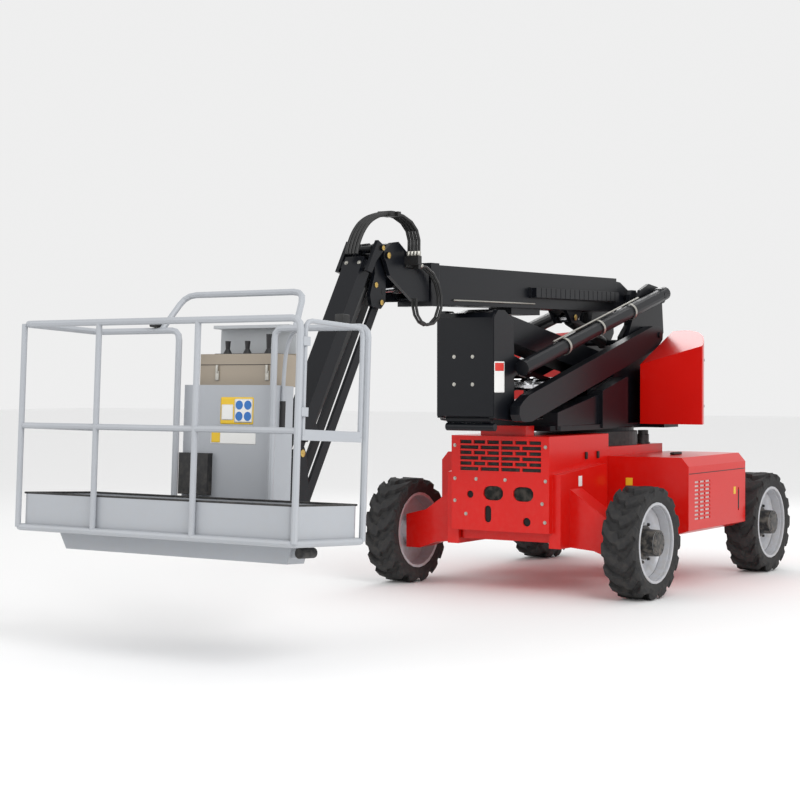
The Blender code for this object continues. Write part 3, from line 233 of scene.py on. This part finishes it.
def coated(name, colour, rough, dust=0.2, wear=0.25, peel=0.05, edge=0.004, dust_colour=(0.42, 0.37, 0.31),
           **sockets):
    """A material of the sprayed film group, its constants on the shader's own sockets."""
    m = plain(name, colour, rough, **sockets)
    t = m.node_tree
    g = t.nodes.new("ShaderNodeGroup")
    g.node_tree = film
    where = t.nodes.new("ShaderNodeTexCoord")
    t.links.new(where.outputs["Object"], g.inputs["Vector"])
    for key, value in (("Paint", (*colour, 1.0)), ("Dust", dust), ("Dust Colour", (*dust_colour, 1.0)),
                       ("Gloss Roughness", rough), ("Edge Radius", edge),
                       ("Edge Wear", wear), ("Peel", peel)):
        g.inputs[key].default_value = value
    p = t.nodes["Principled BSDF"]
    t.links.new(g.outputs["Color"], p.inputs["Base Color"])
    t.links.new(g.outputs["Roughness"], p.inputs["Roughness"])
    t.links.new(g.outputs["Normal"], p.inputs["Normal"])
    return m


def finish_nodes(material, *names):
    for name in names:
        NODES[name].material_slots[0].material = material


red_gloss = coated("red_gloss_paint", (0.62, 0.006, 0.003), 0.26, dust=0.03, wear=0.10, Coat_Weight=0.10,
                   Coat_Roughness=0.08)
red_gloss.node_tree.nodes["Principled BSDF"].inputs["Specular IOR Level"].default_value = 0.30
finish_nodes(red_gloss, "chassis_frame", "side_box_left", "side_box_right", "tail_hood")

# The turret, riser arms, boom and jib are welded steel box sections in a dark anthracite satin paint.
anthracite = coated("anthracite_satin_paint", (0.0048, 0.0056, 0.0080), 0.30, dust=0.02, wear=0.12)
anthracite.node_tree.nodes["Principled BSDF"].inputs["Specular IOR Level"].default_value = 0.24
finish_nodes(anthracite, "turret_frame", "lower_arm", "tube_link", "front_knuckle", "upper_arm", "upper_link",
             "rear_knuckle", "boom_outer", "boom_inner", "jib_knuckle", "jib_beam", "jib_link",
             "basket_mount")

# Castings, ram barrels and the bearing ring are black enamelled; the rods are hard chromed and ground.
black_enamel = coated("black_enamel", (0.010, 0.010, 0.011), 0.42, dust=0.3, wear=0.3, peel=0.2)
finish_nodes(black_enamel, "slew_bearing", "steer_knuckle_left", "steer_knuckle_right", "riser_ram_barrel",
             "lift_ram_barrel", "level_ram_barrel", "jib_ram_barrel", "joysticks", "document_box")
hard_chrome = coated("hard_chrome", (0.72, 0.73, 0.75), 0.10, dust=0.05, wear=0.0, peel=0.0, edge=0.002,
                     Metallic=1.0)
finish_nodes(hard_chrome, "riser_ram_rod", "lift_ram_rod", "level_ram_rod", "jib_ram_rod")

# The basket, its gate and the console are grey powder coated tube and sheet.
powder_grey = coated("grey_powder_coat", (0.40, 0.42, 0.45), 0.42, dust=0.15, wear=0.2, peel=0.35)
finish_nodes(powder_grey, "basket_frame", "basket_floor", "gate", "console")
box_beige = coated("beige_enamel", (0.33, 0.28, 0.22), 0.40, dust=0.1, wear=0.3)
lid_tree = box_beige.node_tree
lid_where = lid_tree.nodes.new("ShaderNodeTexCoord")
lid_split = lid_tree.nodes.new("ShaderNodeSeparateXYZ")
lid_tree.links.new(lid_where.outputs["Object"], lid_split.inputs[0])
lid_mask = ramp(lid_tree, lid_split.outputs["Z"], 1.8005, 1.8025)
lid_colour = blend_colour(lid_tree, lid_mask, (0.33, 0.28, 0.22, 1.0), (0.42, 0.44, 0.46, 1.0))
lid_tree.links.new(lid_colour, lid_tree.nodes["Group"].inputs["Paint"])
finish_nodes(box_beige, "control_box")

# Solid rubber-filled tyres: carbon-black rubber, moulded with deep chevron lugs and pressed onto the
# rims. The rubber is matt, a little brown with road dust in the grooves, with fine mould grain.
tyre_rubber = coated("tyre_rubber", (0.024, 0.024, 0.025), 0.75, dust=0.5, wear=0.06, peel=0.6, edge=0.008,
                     dust_colour=(0.075, 0.070, 0.064))
tyre_rubber.node_tree.nodes["Principled BSDF"].inputs["Specular IOR Level"].default_value = 0.35
finish_nodes(tyre_rubber, "tyre_fl", "tyre_fr", "tyre_rl", "tyre_rr")
hose_rubber = coated("hose_rubber", (0.012, 0.012, 0.012), 0.45, dust=0.1, wear=0.1, peel=0.6)
finish_nodes(hose_rubber, "head_hoses", "hose_arch")

# Each wheel is a pressed steel rim in silver paint, held by a ring of black bolts to a black wheel
# motor, whose domed cover has its own ring of small screws. A rolled flange closes the rim outside.
rim_silver = coated("rim_silver_paint", (0.52, 0.53, 0.56), 0.34, dust=0.3, wear=0.2, Metallic=0.35)
finish_nodes(rim_silver, "wheel_fl", "wheel_fr", "wheel_rl", "wheel_rr")


def revolve(name, profile, places, axis, steps, material, body):
    """A turned form for each place: point (u, r) of the profile at step t lies u along the axis from the
    place and r from it, turned by t parts of a circle. The profile runs from one end to the other."""
    axis = np.array(axis, float) / np.linalg.norm(axis)
    side = np.cross(axis, (0.0, 0.0, 1.0) if abs(axis[2]) < 0.9 else (1.0, 0.0, 0.0))
    side = side / np.linalg.norm(side)
    other = np.cross(axis, side)
    u, r = np.array(profile, float).T
    a = 2 * np.pi * np.arange(steps) / steps
    ring = np.cos(a)[:, None] * side + np.sin(a)[:, None] * other
    one = u[:, None, None] * axis + r[:, None, None] * ring[None]
    places = np.array(places, float).reshape(-1, 3)
    points = (places[:, None, None, :] + one[None]).reshape(-1, 3)
    k, l = np.meshgrid(np.arange(len(u) - 1), np.arange(steps), indexing="ij")
    after = (l + 1) % steps
    faces = np.stack([k * steps + l, k * steps + after, (k + 1) * steps + after, (k + 1) * steps + l],
                     axis=-1)
    faces = faces.reshape(1, -1, 4) + (np.arange(len(places)) * len(u) * steps)[:, None, None]
    me = bpy.data.meshes.new(name)
    me.from_pydata(points.tolist(), [], faces.reshape(-1, 4).tolist())
    return settled(name, me, material, body)


def settled(name, me, material, body, sharp=35.0):
    """The mesh as a closed piece: doubles merged, faces outwards, smooth but for its sharp edges."""
    bm = bmesh.new()
    bm.from_mesh(me)
    bmesh.ops.remove_doubles(bm, verts=bm.verts, dist=1e-6)
    bmesh.ops.dissolve_degenerate(bm, edges=bm.edges, dist=1e-6)
    bmesh.ops.recalc_face_normals(bm, faces=bm.faces)
    bm.to_mesh(me)
    bm.free()
    me.shade_smooth()
    me.set_sharp_from_angle(angle=math.radians(sharp))
    ob = bpy.data.objects.new(name, me)
    bpy.context.scene.collection.objects.link(ob)
    me.materials.append(material)
    if body:
        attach(ob, body)
    return ob


motor_black = coated("wheel_motor_enamel", (0.012, 0.012, 0.013), 0.38, dust=0.35, wear=0.4)
bolt_zinc = coated("black_zinc_bolts", (0.03, 0.03, 0.032), 0.35, dust=0.2, wear=0.6, peel=0.0, edge=0.002,
                   Metallic=0.6)
for tag in ("fl", "fr", "rl", "rr"):
    lo, hi = (np.array(c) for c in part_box("wheel_" + tag))
    out = 1.0 if lo[1] > 0 else -1.0
    hub = np.array([(lo[0] + hi[0]) / 2, out * 1.05, (lo[2] + hi[2]) / 2])
    body = "wheel_" + tag
    flange = [(0.100, 0.2835), (0.1262, 0.2835), (0.1262, 0.3015), (0.1225, 0.3040), (0.1185, 0.3015),
              (0.1185, 0.2900),
              (0.112, 0.2860), (0.100, 0.2856), (0.100, 0.2835)]
    revolve("rim_flange_" + tag, flange, [hub], (0, out, 0), 96, rim_silver, body)
    dish = [(-0.0029, 0.0985), (0.012, 0.0985), (0.016, 0.112), (0.016, 0.168), (0.004, 0.190),
            (0.004, 0.225), (0.022, 0.252),
            (0.045, 0.268), (0.100, 0.2815), (0.100, 0.2765), (0.03, 0.262), (-0.0029, 0.225),
            (-0.0029, 0.0985)]
    revolve("rim_dish_" + tag, dish, [hub], (0, out, 0), 96, rim_silver, body)
    cover = [(0.0165, 0.0978), (0.0165, 0.128), (0.030, 0.128), (0.034, 0.124), (0.034, 0.104),
             (0.100, 0.1005),
             (0.1375, 0.0985), (0.1375, 0.0978), (0.0165, 0.0978)]
    revolve("motor_collar_" + tag, cover, [hub], (0, out, 0), 64, motor_black, body)
    dome = [(0.1402, 0.0), (0.1402, 0.0985), (0.1440, 0.0965), (0.1475, 0.080), (0.1490, 0.045),
            (0.1490, 0.0)]
    revolve("motor_cover_" + tag, dome, [hub], (0, out, 0), 48, motor_black, body)
    a = 2 * np.pi * np.arange(9) / 9
    ring = hub + np.stack([0.148 * np.cos(a), a * 0 + out * 0.0162, 0.148 * np.sin(a)], axis=1)
    bolt = [(0.0, 0.0), (0.0, 0.0145), (0.004, 0.0145), (0.004, 0.0115), (0.014, 0.0115), (0.0165, 0.0095),
            (0.0165, 0.0)]
    revolve("wheel_bolts_" + tag, bolt, ring, (0, out, 0), 6, bolt_zinc, body)
    a = 2 * np.pi * (np.arange(12) + 0.5) / 12
    ring = hub + np.stack([0.077 * np.cos(a), a * 0 + out * 0.1455, 0.077 * np.sin(a)], axis=1)
    screw = [(0.0, 0.0), (0.0, 0.0058), (0.004, 0.0058), (0.0052, 0.0045), (0.0052, 0.0)]
    revolve("cover_screws_" + tag, screw, ring, (0, out, 0), 6, bolt_zinc, body)

# Behind the grille's slots and the two obround openings stands the radiator: a dark core of thin
# upright fins, a hand's breadth of it to be seen in each slot. The round holes open on flat black
# sheets: painted shade for the dark inside the nose.
SHIFT = float(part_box("wheel_fl")[0][0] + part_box("wheel_fl")[1][0]) / 2 - 1.15   # from mid wheelbase to the frame
NOSE_X = 1.455 + SHIFT


def placed_sheet(name, corner, across, up, counts, material, body, wave=None):
    """A grid from a corner along two edges, set out along their normal by wave(s, t), with s and t from 0 to 1."""
    s, t = np.meshgrid(np.linspace(0, 1, counts[0] + 1), np.linspace(0, 1, counts[1] + 1), indexing="ij")
    across, up = np.array(across, float), np.array(up, float)
    normal = np.cross(across, up)
    normal /= np.linalg.norm(normal)
    height = wave(s, t) if wave else s * 0.0
    p = np.array(corner, float) + s[..., None] * across + t[..., None] * up + height[..., None] * normal
    ob = sheet_mesh(name, p[..., 0], p[..., 1], p[..., 2], material)
    ob.data.flip_normals()
    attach(ob, body)
    return ob


core_black = coated("radiator_core", (0.012, 0.015, 0.014), 0.5, dust=0.4, wear=0.0, peel=0.2, edge=0.001)
placed_sheet("radiator_fins", (NOSE_X - 0.016, -0.352, 0.935), (0, 0.715, 0), (0, 0, 0.24), (520, 1),
                    core_black,
                    "chassis", lambda s, t: 0.003 * np.abs((s * 130) % 1 - 0.5) * 2)
for k, y in enumerate((-0.056, 0.208)):
    placed_sheet("oil_cooler_fins_%d" % (k + 1), (NOSE_X - 0.016, y - 0.092, 0.708), (0, 0.184, 0),
                 (0, 0, 0.118),
                 (1, 120), core_black, "chassis", lambda s, t: 0.003 * np.abs((t * 30) % 1 - 0.5) * 2)
# Flat black sheets just behind the holes in the nose: painted shade standing for the dark inside the chassis.
painted_shade_black = coated("opening_painted_shade", (0.004, 0.004, 0.004), 0.8, dust=0.0, wear=0.0)
for k, (y, z, w, h) in enumerate(((-0.103, 0.605, 0.034, 0.070), (-0.262, 0.752, 0.031, 0.031),
                                  (0.238, 0.557, 0.036, 0.036))):
    placed_sheet("nose_opening_shade_%d" % (k + 1), (NOSE_X - 0.012, y - w, z - h), (0, 2 * w, 0), (0, 0, 2 * h),
                 (1, 1),
                 painted_shade_black, "chassis")

# Socket screws hold the nose panel, the cabinet's lid and the front knuckle's cover: zinc plated, with a
# low head on a washer.
screw_head = [(0.0, 0.0), (0.0, 0.0145), (0.0022, 0.0145), (0.0022, 0.0095), (0.0075, 0.0095), (0.009, 0.008),
              (0.009, 0.0)]
nose_screws = [(NOSE_X, y, z) for y, z in ((-0.400, 0.872), (-0.400, 0.700), (-0.400, 1.13), (0.400, 0.872),
                                           (0.400, 1.13),
                                          (0.372, 0.70), (-0.208, 0.872), (-0.30, 0.60), (0.395, 0.56),
                                           (0.05, 0.872))]
zinc = coated("zinc_plate", (0.45, 0.44, 0.40), 0.35, dust=0.2, wear=0.3, peel=0.0, edge=0.002, Metallic=0.9)
revolve("nose_screws", screw_head, nose_screws, (1, 0, 0), 12, zinc, "chassis")
CAB_X = float(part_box("front_knuckle")[1][0])
lo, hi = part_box("front_knuckle")
cab_screws = [(CAB_X, y, z) for y in (-0.092, 0.068) for z in (1.605, 1.81)]
revolve("knuckle_screws", [(0.3 * u, r) for u, r in screw_head], cab_screws, (1, 0, 0), 12, zinc,
        "front_knuckle")

# The left side box has a pressed louvre panel in white, a black draw latch in its slot, a black grip on
# the lid, and a rubber lid seal that shows as a dark line all round.
SIDE_Y = float(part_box("side_box_left")[1][1])


def rounded_block(name, lo, hi, r, material, body, arc=4):
    """A block with round edges: a rounded rectangle in the two directions across its thinnest side, drawn in
    by a quarter circle at both faces."""
    lo, hi = np.array(lo, float), np.array(hi, float)
    size = hi - lo
    thin = int(np.argmin(size))
    u, v = [k for k in range(3) if k != thin]
    r = min(r, size.min() * 0.499)
    corner = max(r, min(size[u], size[v]) * 0.06)
    corner = min(corner, min(size[u], size[v]) * 0.499)
    a = np.linspace(0, np.pi / 2, arc + 1)
    centre = (lo + hi) / 2
    half = size / 2
    angles = np.concatenate([a + k * np.pi / 2 for k in range(4)])
    cu = np.repeat([1, -1, -1, 1], arc + 1) * (half[u] - corner)
    cv = np.repeat([1, 1, -1, -1], arc + 1) * (half[v] - corner)
    inset = np.concatenate([[corner], r * (1 - np.sin(a)), r * (1 - np.cos(a)), [corner]])
    level = np.concatenate([[-half[thin]], -half[thin] + r * (1 - np.cos(a)),
                            half[thin] - r * (1 - np.sin(a)), [half[thin]]])
    ring = corner - inset[:, None]
    p = np.zeros((len(inset), len(angles), 3))
    p[..., u] = centre[u] + cu + ring * np.cos(angles)
    p[..., v] = centre[v] + cv + ring * np.sin(angles)
    p[..., thin] = centre[thin] + level[:, None]
    n = len(angles)
    k, l = np.meshgrid(np.arange(len(inset) - 1), np.arange(n), indexing="ij")
    faces = np.stack([k * n + l, k * n + (l + 1) % n, (k + 1) * n + (l + 1) % n, (k + 1) * n + l],
                     axis=-1).reshape(-1, 4)
    me = bpy.data.meshes.new(name)
    caps = [list(range(n)), list(range((len(inset) - 1) * n, len(inset) * n))]
    me.from_pydata(p.reshape(-1, 3).tolist(), [], faces.tolist() + caps)
    return settled(name, me, material, body)


louvre_white = coated("louvre_white", (0.80, 0.80, 0.78), 0.45, dust=0.2, wear=0.1)
grip_black = coated("moulded_black", (0.010, 0.010, 0.010), 0.5, dust=0.1, wear=0.1, peel=0.6)
yellow_film = coated("yellow_film", (0.80, 0.52, 0.02), 0.35, dust=0.05, wear=0.0)
white_film = coated("white_film", (0.82, 0.82, 0.80), 0.35, dust=0.05, wear=0.0)
blue_film = coated("blue_film", (0.02, 0.16, 0.50), 0.35, dust=0.05, wear=0.0)
red_film = coated("red_film", (0.65, 0.03, 0.02), 0.35, dust=0.05, wear=0.0)
for side, out in (("left", 1.0), ("right", -1.0)):
    y = out * SIDE_Y
    x0, x1 = 0.045 + SHIFT, 0.360 + SHIFT
    placed_sheet("louvre_back_" + side, (x0 if out < 0 else x1, y - out * 0.0105, 0.528),
                 ((x1 - x0) * out * -1.0, 0, 0),
                 (0, 0, 0.33), (1, 1), louvre_white, "chassis")
    rounded_block("latch_" + side, (-0.538 + SHIFT, min(y - out * 0.026, y + out * 0.004), 0.575),
                  (-0.522 + SHIFT, max(y - out * 0.026, y + out * 0.004), 0.735), 0.004, grip_black,
                  "chassis")
    rounded_block("box_sticker_" + side, (-0.470 + SHIFT, min(y, y + out * 0.0008), 0.700),
                  (-0.425 + SHIFT, max(y, y + out * 0.0008), 0.760), 0.0003, yellow_film, "chassis")
    rounded_block("lid_seal_" + side, (-0.665 + SHIFT, min(y - out * 0.001, y + out * 0.0012), 0.900),
                  (0.465 + SHIFT, max(y - out * 0.001, y + out * 0.0012), 0.906), 0.0005, grip_black,
                  "chassis")
    rounded_block("lid_grip_" + side, (-0.10 + SHIFT, out * 0.80 - 0.02, 1.0302),
                  (0.06 + SHIFT, out * 0.80 + 0.02, 1.052),
                  0.008, grip_black, "chassis")
    rounded_block("front_mark_" + side, (0.4735 + SHIFT, out * 0.62 - 0.03, 0.80),
                  (0.4743 + SHIFT, out * 0.62 + 0.03, 0.86),
                  0.0003, yellow_film, "chassis")
    rounded_block("nose_label_" + side, (1.05 + SHIFT, min(out * 0.5003, out * 0.5011), 0.82),
                  (1.11 + SHIFT, max(out * 0.5003, out * 0.5011), 0.90), 0.0003, white_film, "chassis")
    for k, x in enumerate((0.66, 0.86)):
        rounded_block("nose_latch_%s_%d" % (side, k + 1), (x - 0.012 + SHIFT, min(out * 0.4315, out * 0.449),
                                                           1.02),
                      (x + 0.012 + SHIFT, max(out * 0.4315, out * 0.449), 1.075), 0.004, grip_black,
                      "chassis")

# Blank label plates are printed film on a thin backing. Only the one on the front knuckle's side is
# drawn, white with a red band; those on the hood and the white one with a blue field on the black box
# at the turret's foot are not drawn.
kx = float(hi[0])
rounded_block("knuckle_label", (kx - 0.165, 0.2453, 1.545), (kx - 0.015, 0.2461, 1.775), 0.0003, white_film,
              "front_knuckle")
rounded_block("knuckle_label_band", (kx - 0.155, 0.2462, 1.705), (kx - 0.025, 0.2466, 1.765), 0.0001,
              red_film, "front_knuckle")
bar_end = [(0.0, 0.0), (0.0, 0.027), (0.004, 0.030), (0.416, 0.030), (0.42, 0.027), (0.42, 0.0)]
revolve("knuckle_bar", bar_end, [(kx - 0.075, -0.20, float(lo[2]) - 0.0302)], (0, 1, 0), 32, anthracite,
        "front_knuckle")

# The tail hood is a moulded shell: its side has a panel with four screws and a lock, and its roof a
# dark air slot, which is not drawn.


def on_side(node, out, x, z):
    """The outermost y of a node's surface at x and z, found by a ray from its outer side."""
    bm = bmesh.new()
    bm.from_mesh(NODES[node].data)
    tree = BVHTree.FromBMesh(bm)
    bm.free()
    hit = tree.ray_cast((x, out * 3.0, z), (0.0, -out, 0.0))
    return float(hit[0][1])


lo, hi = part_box("tail_hood")
for out, side in ((1.0, "left"), (-1.0, "right")):
    corners = [(float(lo[0]) + dx, z) for dx in (0.26, 0.56) for z in (1.42, 1.80)]
    panel_screws = [(x, on_side("tail_hood", out, x, z), z) for x, z in corners]
    revolve("hood_screws_" + side, [(0.3 * u, r) for u, r in screw_head], panel_screws, (0, out, 0), 12,
            bolt_zinc, "turret")
    lock = [(0.0, 0.0), (0.0, 0.020), (0.003, 0.020), (0.005, 0.017), (0.005, 0.0)]
    x = float(lo[0]) + 0.42
    revolve("hood_lock_" + side, lock, [(x, on_side("tail_hood", out, x, 1.40), 1.40)], (0, out, 0), 24,
            motor_black, "turret")

# The basket stands tilted up at its front by three degrees about its lower pin. On the console are two
# blank label plates, two draw latches hold the control box, and black trim covers the toe boards' edge.
BASKET_TILT = math.radians(3.0)
TILT_PIN = (4.06 + SHIFT, 0.808)


def lean(ob):
    """Turns a piece's points about the basket's lower pin by the basket's tilt, and moves them to the frame."""
    me = ob.data
    p = np.empty(len(me.vertices) * 3)
    me.vertices.foreach_get("co", p)
    p = p.reshape(-1, 3)
    dx, dz = p[:, 0] + SHIFT - TILT_PIN[0], p[:, 2] - TILT_PIN[1]
    p[:, 0] = TILT_PIN[0] + dx * math.cos(BASKET_TILT) - dz * math.sin(BASKET_TILT)
    p[:, 2] = TILT_PIN[1] + dx * math.sin(BASKET_TILT) + dz * math.cos(BASKET_TILT)
    me.vertices.foreach_set("co", p.ravel())
    me.update()
    return ob


FACE = 4.78             # the console's front
def basket_block(name, lo, hi, r, material):
    return lean(rounded_block(name, lo, hi, r, material, "basket"))


basket_block("label_discs", (FACE + 0.0002, -0.063, 1.335), (FACE + 0.001, 0.192, 1.500), 0.0003, yellow_film)
basket_block("label_discs_field", (FACE + 0.0012, 0.045, 1.345), (FACE + 0.0016, 0.184, 1.490), 0.0001,
             white_film)
disc = [(0.0, 0.0), (0.0, 0.028), (0.0004, 0.028), (0.0004, 0.0)]
discs = [(FACE + 0.0017, y, z) for y in (0.082, 0.148) for z in (1.384, 1.452)]
lean(revolve("label_disc_marks", disc, discs, (1, 0, 0), 32, blue_film, "basket"))
basket_block("label_rows", (FACE + 0.0012, -0.055, 1.36), (FACE + 0.0016, 0.035, 1.455), 0.0001, white_film)
basket_block("label_low", (FACE + 0.0002, -0.134, 1.215), (FACE + 0.001, 0.215, 1.292), 0.0003, white_film)
basket_block("label_low_field", (FACE + 0.0012, -0.128, 1.222), (FACE + 0.0016, -0.060, 1.285), 0.0001,
             yellow_film)
for k, y in enumerate((-0.16, 0.228)):
    basket_block("box_latch_%d" % (k + 1), (4.7002, y - 0.014, 1.605), (4.709, y + 0.014, 1.665), 0.003, zinc)
    basket_block("box_hook_%d" % (k + 1), (4.7092, y - 0.009, 1.650), (4.714, y + 0.009, 1.700), 0.002, zinc)
basket_block("box_lid_seam", (4.7002, -0.298, 1.700), (4.7015, 0.298, 1.704), 0.0005, grip_black)
trim_black = coated("trim_rubber", (0.016, 0.016, 0.017), 0.6, dust=0.2, wear=0.1, peel=0.5)
toe = {"front": ((5.446, -1.02, 0.878), (5.460, 1.02, 0.890)),
       "rear": ((4.845, -1.02, 0.878), (4.859, 1.02, 0.890)),
       "left": ((4.86, 1.012, 0.878), (5.445, 1.026, 0.890)),
       "right": ((4.86, -1.026, 0.878), (5.445, -1.012, 0.890))}
for side, (a, b) in toe.items():
    basket_block("toe_trim_" + side, a, b, 0.004, trim_black)
basket_block("floor_mat", (4.862, -1.008, 0.7065), (5.44, 1.008, 0.712), 0.002, trim_black)
for k, (x, y) in enumerate(((4.827, -0.56), (4.827, 0.86))):
    basket_block("rail_lamp_%d" % (k + 1), (x - 0.035, y - 0.032, 1.931), (x + 0.035, y + 0.032, 1.985),
                 0.008, grip_black)
    basket_block("rail_lamp_foot_%d" % (k + 1), (x - 0.012, y - 0.012, 1.9285),
                 (x + 0.012, y + 0.012, 1.9305), 0.0008, zinc)


def tube_along(name, points, r, material, body, steps=14, ends=True):
    """A round tube: circles of radius r stand across a smooth curve through the points, each ring's frame
    carried on from the one before by leaving out the part along the curve."""
    q = np.array(points, float)
    s = np.linspace(0, len(q) - 1, (len(q) - 1) * 8 + 1)
    k = np.minimum(s.astype(int), len(q) - 2)
    t = (s - k)[:, None]
    p0, p1, p2, p3 = q[np.maximum(k - 1, 0)], q[k], q[k + 1], q[np.minimum(k + 2, len(q) - 1)]
    path = 0.5 * (2 * p1 + (p2 - p0) * t + (2 * p0 - 5 * p1 + 4 * p2 - p3) * t ** 2 + (3 * p1 - p0 - 3 * p2 + p3) * t ** 3)
    d = np.gradient(path, axis=0)
    d /= np.linalg.norm(d, axis=1)[:, None]
    side = np.cross(d[0], (0.3, 0.5, 0.8))
    sides = np.empty_like(d)
    for i, along in enumerate(d):
        side = side - along * side.dot(along)
        side /= np.linalg.norm(side)
        sides[i] = side
    other = np.cross(d, sides)
    a = 2 * np.pi * np.arange(steps) / steps
    p = path[:, None] + r * (np.cos(a)[:, None] * sides[:, None] + np.sin(a)[:, None] * other[:, None])
    k, l = np.meshgrid(np.arange(len(path) - 1), np.arange(steps), indexing="ij")
    after = (l + 1) % steps
    faces = np.stack([k * steps + l, k * steps + after, (k + 1) * steps + after, (k + 1) * steps + l],
                     axis=-1).reshape(-1, 4)
    caps = [list(range(steps)), list(range((len(path) - 1) * steps, len(path) * steps))]
    me = bpy.data.meshes.new(name)
    me.from_pydata(p.reshape(-1, 3).tolist(), [], faces.tolist() + caps)
    return settled(name, me, material, body)


# A bent grab tube with a black foam sleeve runs from the console's side to the rear rail, and a roller
# in a small bracket hangs under the end of the floor's beam.
grab = [(4.72, 0.3655, 1.30), (4.72, 0.3655, 1.55), (4.72, 0.375, 1.74), (4.725, 0.40, 1.84),
        (4.75, 0.45, 1.885),
        (4.80, 0.52, 1.895), (4.827, 0.60, 1.888)]
lean(tube_along("grab_tube", grab, 0.012, powder_grey, "basket"))
lean(tube_along("grab_sleeve", [(4.72, 0.3655, 1.32), (4.72, 0.3655, 1.40), (4.72, 0.3655, 1.48)], 0.0175,
                trim_black, "basket"))
basket_block("roller_bracket", (5.15, 0.84, 0.585), (5.27, 0.90, 0.6755), 0.006, powder_grey)
lean(revolve("floor_roller", [(0.0, 0.0), (0.0, 0.026), (0.004, 0.030), (0.136, 0.030), (0.14, 0.026),
                              (0.14, 0.0)],
             [(5.14, 0.932, 0.615)], (1, 0, 0), 24, trim_black, "basket"))

# The pins at the head and the basket have yellow-passivated caps, each held by a keeper screw that is not drawn.
pin_gold = coated("yellow_passivate", (0.60, 0.42, 0.13), 0.32, dust=0.15, wear=0.2, peel=0.0, edge=0.002,
                  Metallic=0.9)
cap = [(0.0, 0.0), (0.0, 1.0), (0.004, 1.0), (0.006, 0.8), (0.006, 0.3), (0.009, 0.3), (0.009, 0.0)]
PIN_CAPS = (("jib_knuckle", "head", 3.206, 2.483, 0.1472, 0.021), ("jib_knuckle", "jib", 3.267, 2.530, 0.1432,
                                                                   0.017),
            ("jib_knuckle", "jib_ram", 3.275, 2.282, 0.0902, 0.019),
            ("jib_knuckle", "link", 3.212, 2.165, 0.0922, 0.019),
            ("mount", "basket", 4.115, 1.173, 0.0922, 0.024), ("mount", "basket_link", 4.06, 0.808, 0.0922,
                                                               0.019),
            ("boom", "lift", 0.383, 2.145, 0.0925, 0.024))
for body, word, x, z, y, r in PIN_CAPS:
    for out, side in ((1.0, "left"), (-1.0, "right")):
        revolve("pin_cap_%s_%s" % (word, side), [(u, v * r) for u, v in cap], [(x + SHIFT, out * y, z)],
                (0, out, 0),
                24, pin_gold, body)

# Zinc-plated crimp sockets end the hydraulic hoses at the block on the head's side.
HOSE_ROW = [0.1923 + (k - 1.5) * 0.027 for k in range(4)]
socket = [(0.0, 0.0128), (0.0, 0.0160), (0.004, 0.0172), (0.026, 0.0172), (0.032, 0.0150), (0.032, 0.0128),
          (0.0, 0.0128)]
revolve("arch_sockets", socket, [(2.9705 + SHIFT, y, 2.4912) for y in HOSE_ROW], (-0.1, 0, 1), 18, zinc,
        "fly")
loop_socket = [(u, v - 0.0020) for u, v in socket]
revolve("loop_sockets", loop_socket, [(2.8778 + SHIFT, y, 2.4298) for y in (0.1558, 0.1828)], (-1, 0, -0.045),
        18, zinc, "fly")

# On the upper side of the left tube link a thin steel pipe runs in two band clamps.
LINK_REAR, LINK_FRONT = np.array((-0.75 + SHIFT, 0.315, 2.36)), np.array((1.607 + SHIFT, 0.315, 1.74))
link_way = (LINK_FRONT - LINK_REAR) / np.linalg.norm(LINK_FRONT - LINK_REAR)
link_up = np.array((-link_way[2], 0.0, link_way[0]))
revolve("link_pipe", [(0.0, 0.0), (0.0, 0.007), (1.55, 0.007), (1.55, 0.0)],
        [LINK_REAR + 0.42 * link_way + 0.0765 * link_up],
        link_way, 16, zinc, "tube_link")
band = [(0.0, 0.0663), (0.0, 0.0690), (0.028, 0.0690), (0.028, 0.0663), (0.0, 0.0663)]
revolve("link_bands", band, [LINK_REAR + k * link_way for k in (0.60, 1.20, 1.80)], link_way, 40, zinc,
        "tube_link")

# The slewing gear's motor stands on the deck beside the ring.
motor = [(0.0, 0.0), (0.0, 0.058), (0.014, 0.058), (0.016, 0.050), (0.078, 0.050), (0.082, 0.044),
         (0.110, 0.044),
         (0.114, 0.040), (0.114, 0.0)]
revolve("slew_motor", motor, [(-0.36 + SHIFT, 0.345, 1.1004)], (0, 0, 1), 40, motor_black, "chassis")

# Two screws hold the cover on the jib's front face.
jib_way, jib_front = np.array((0.530, 0.0, -0.848)), np.array((0.848, 0.0, 0.530))
top = np.array((3.267 + SHIFT, 0.0, 2.530)) + 0.17 * jib_way + 0.0782 * jib_front
revolve("jib_screws", screw_head, [top + (0, y, 0) for y in (-0.052, 0.052)], jib_front, 12, zinc, "jib")

# A zinc-plated rail for the energy chain is screwed along the lower edge of the boom's near side.
rail = [(1.15 + SHIFT, 0.1368, 2.228), (1.75 + SHIFT, 0.1368, 2.2198), (2.35 + SHIFT, 0.1368, 2.2115)]
tube_along("chain_rail", rail, 0.0065, zinc, "boom")

# Four hydraulic hoses come over the jib's top in a smooth arch from the clamp to the jib's front cover.
# Each is drawn once in place, on no body, and stands for the plain solid, which is hidden.
HOSE_Y = 0.1923
ARCH = [(3.158, -0.106, 2.7722), (3.190, -0.120, 2.768), (3.255, -0.150, 2.744), (3.312, -0.170, 2.706),
        (3.360, -0.180, 2.655), (3.398, -0.185, 2.598), (3.425, -0.188, 2.540), (3.440, -0.190, 2.485)]
for k in range(4):
    route = [(x + SHIFT, HOSE_Y + y + (k - 1.5) * 0.027, z) for x, y, z in ARCH]
    hose = tube_along("arch_hose_%d" % (k + 1), route, 0.0122, hose_rubber, None)
    if k == 0:
        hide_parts("hose_arch")
    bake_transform(hose)
rounded_block("arch_clamp", (3.125 + SHIFT, 0.034, 2.753), (3.180 + SHIFT, 0.150, 2.789), 0.005, grip_black,
              "jib_knuckle")
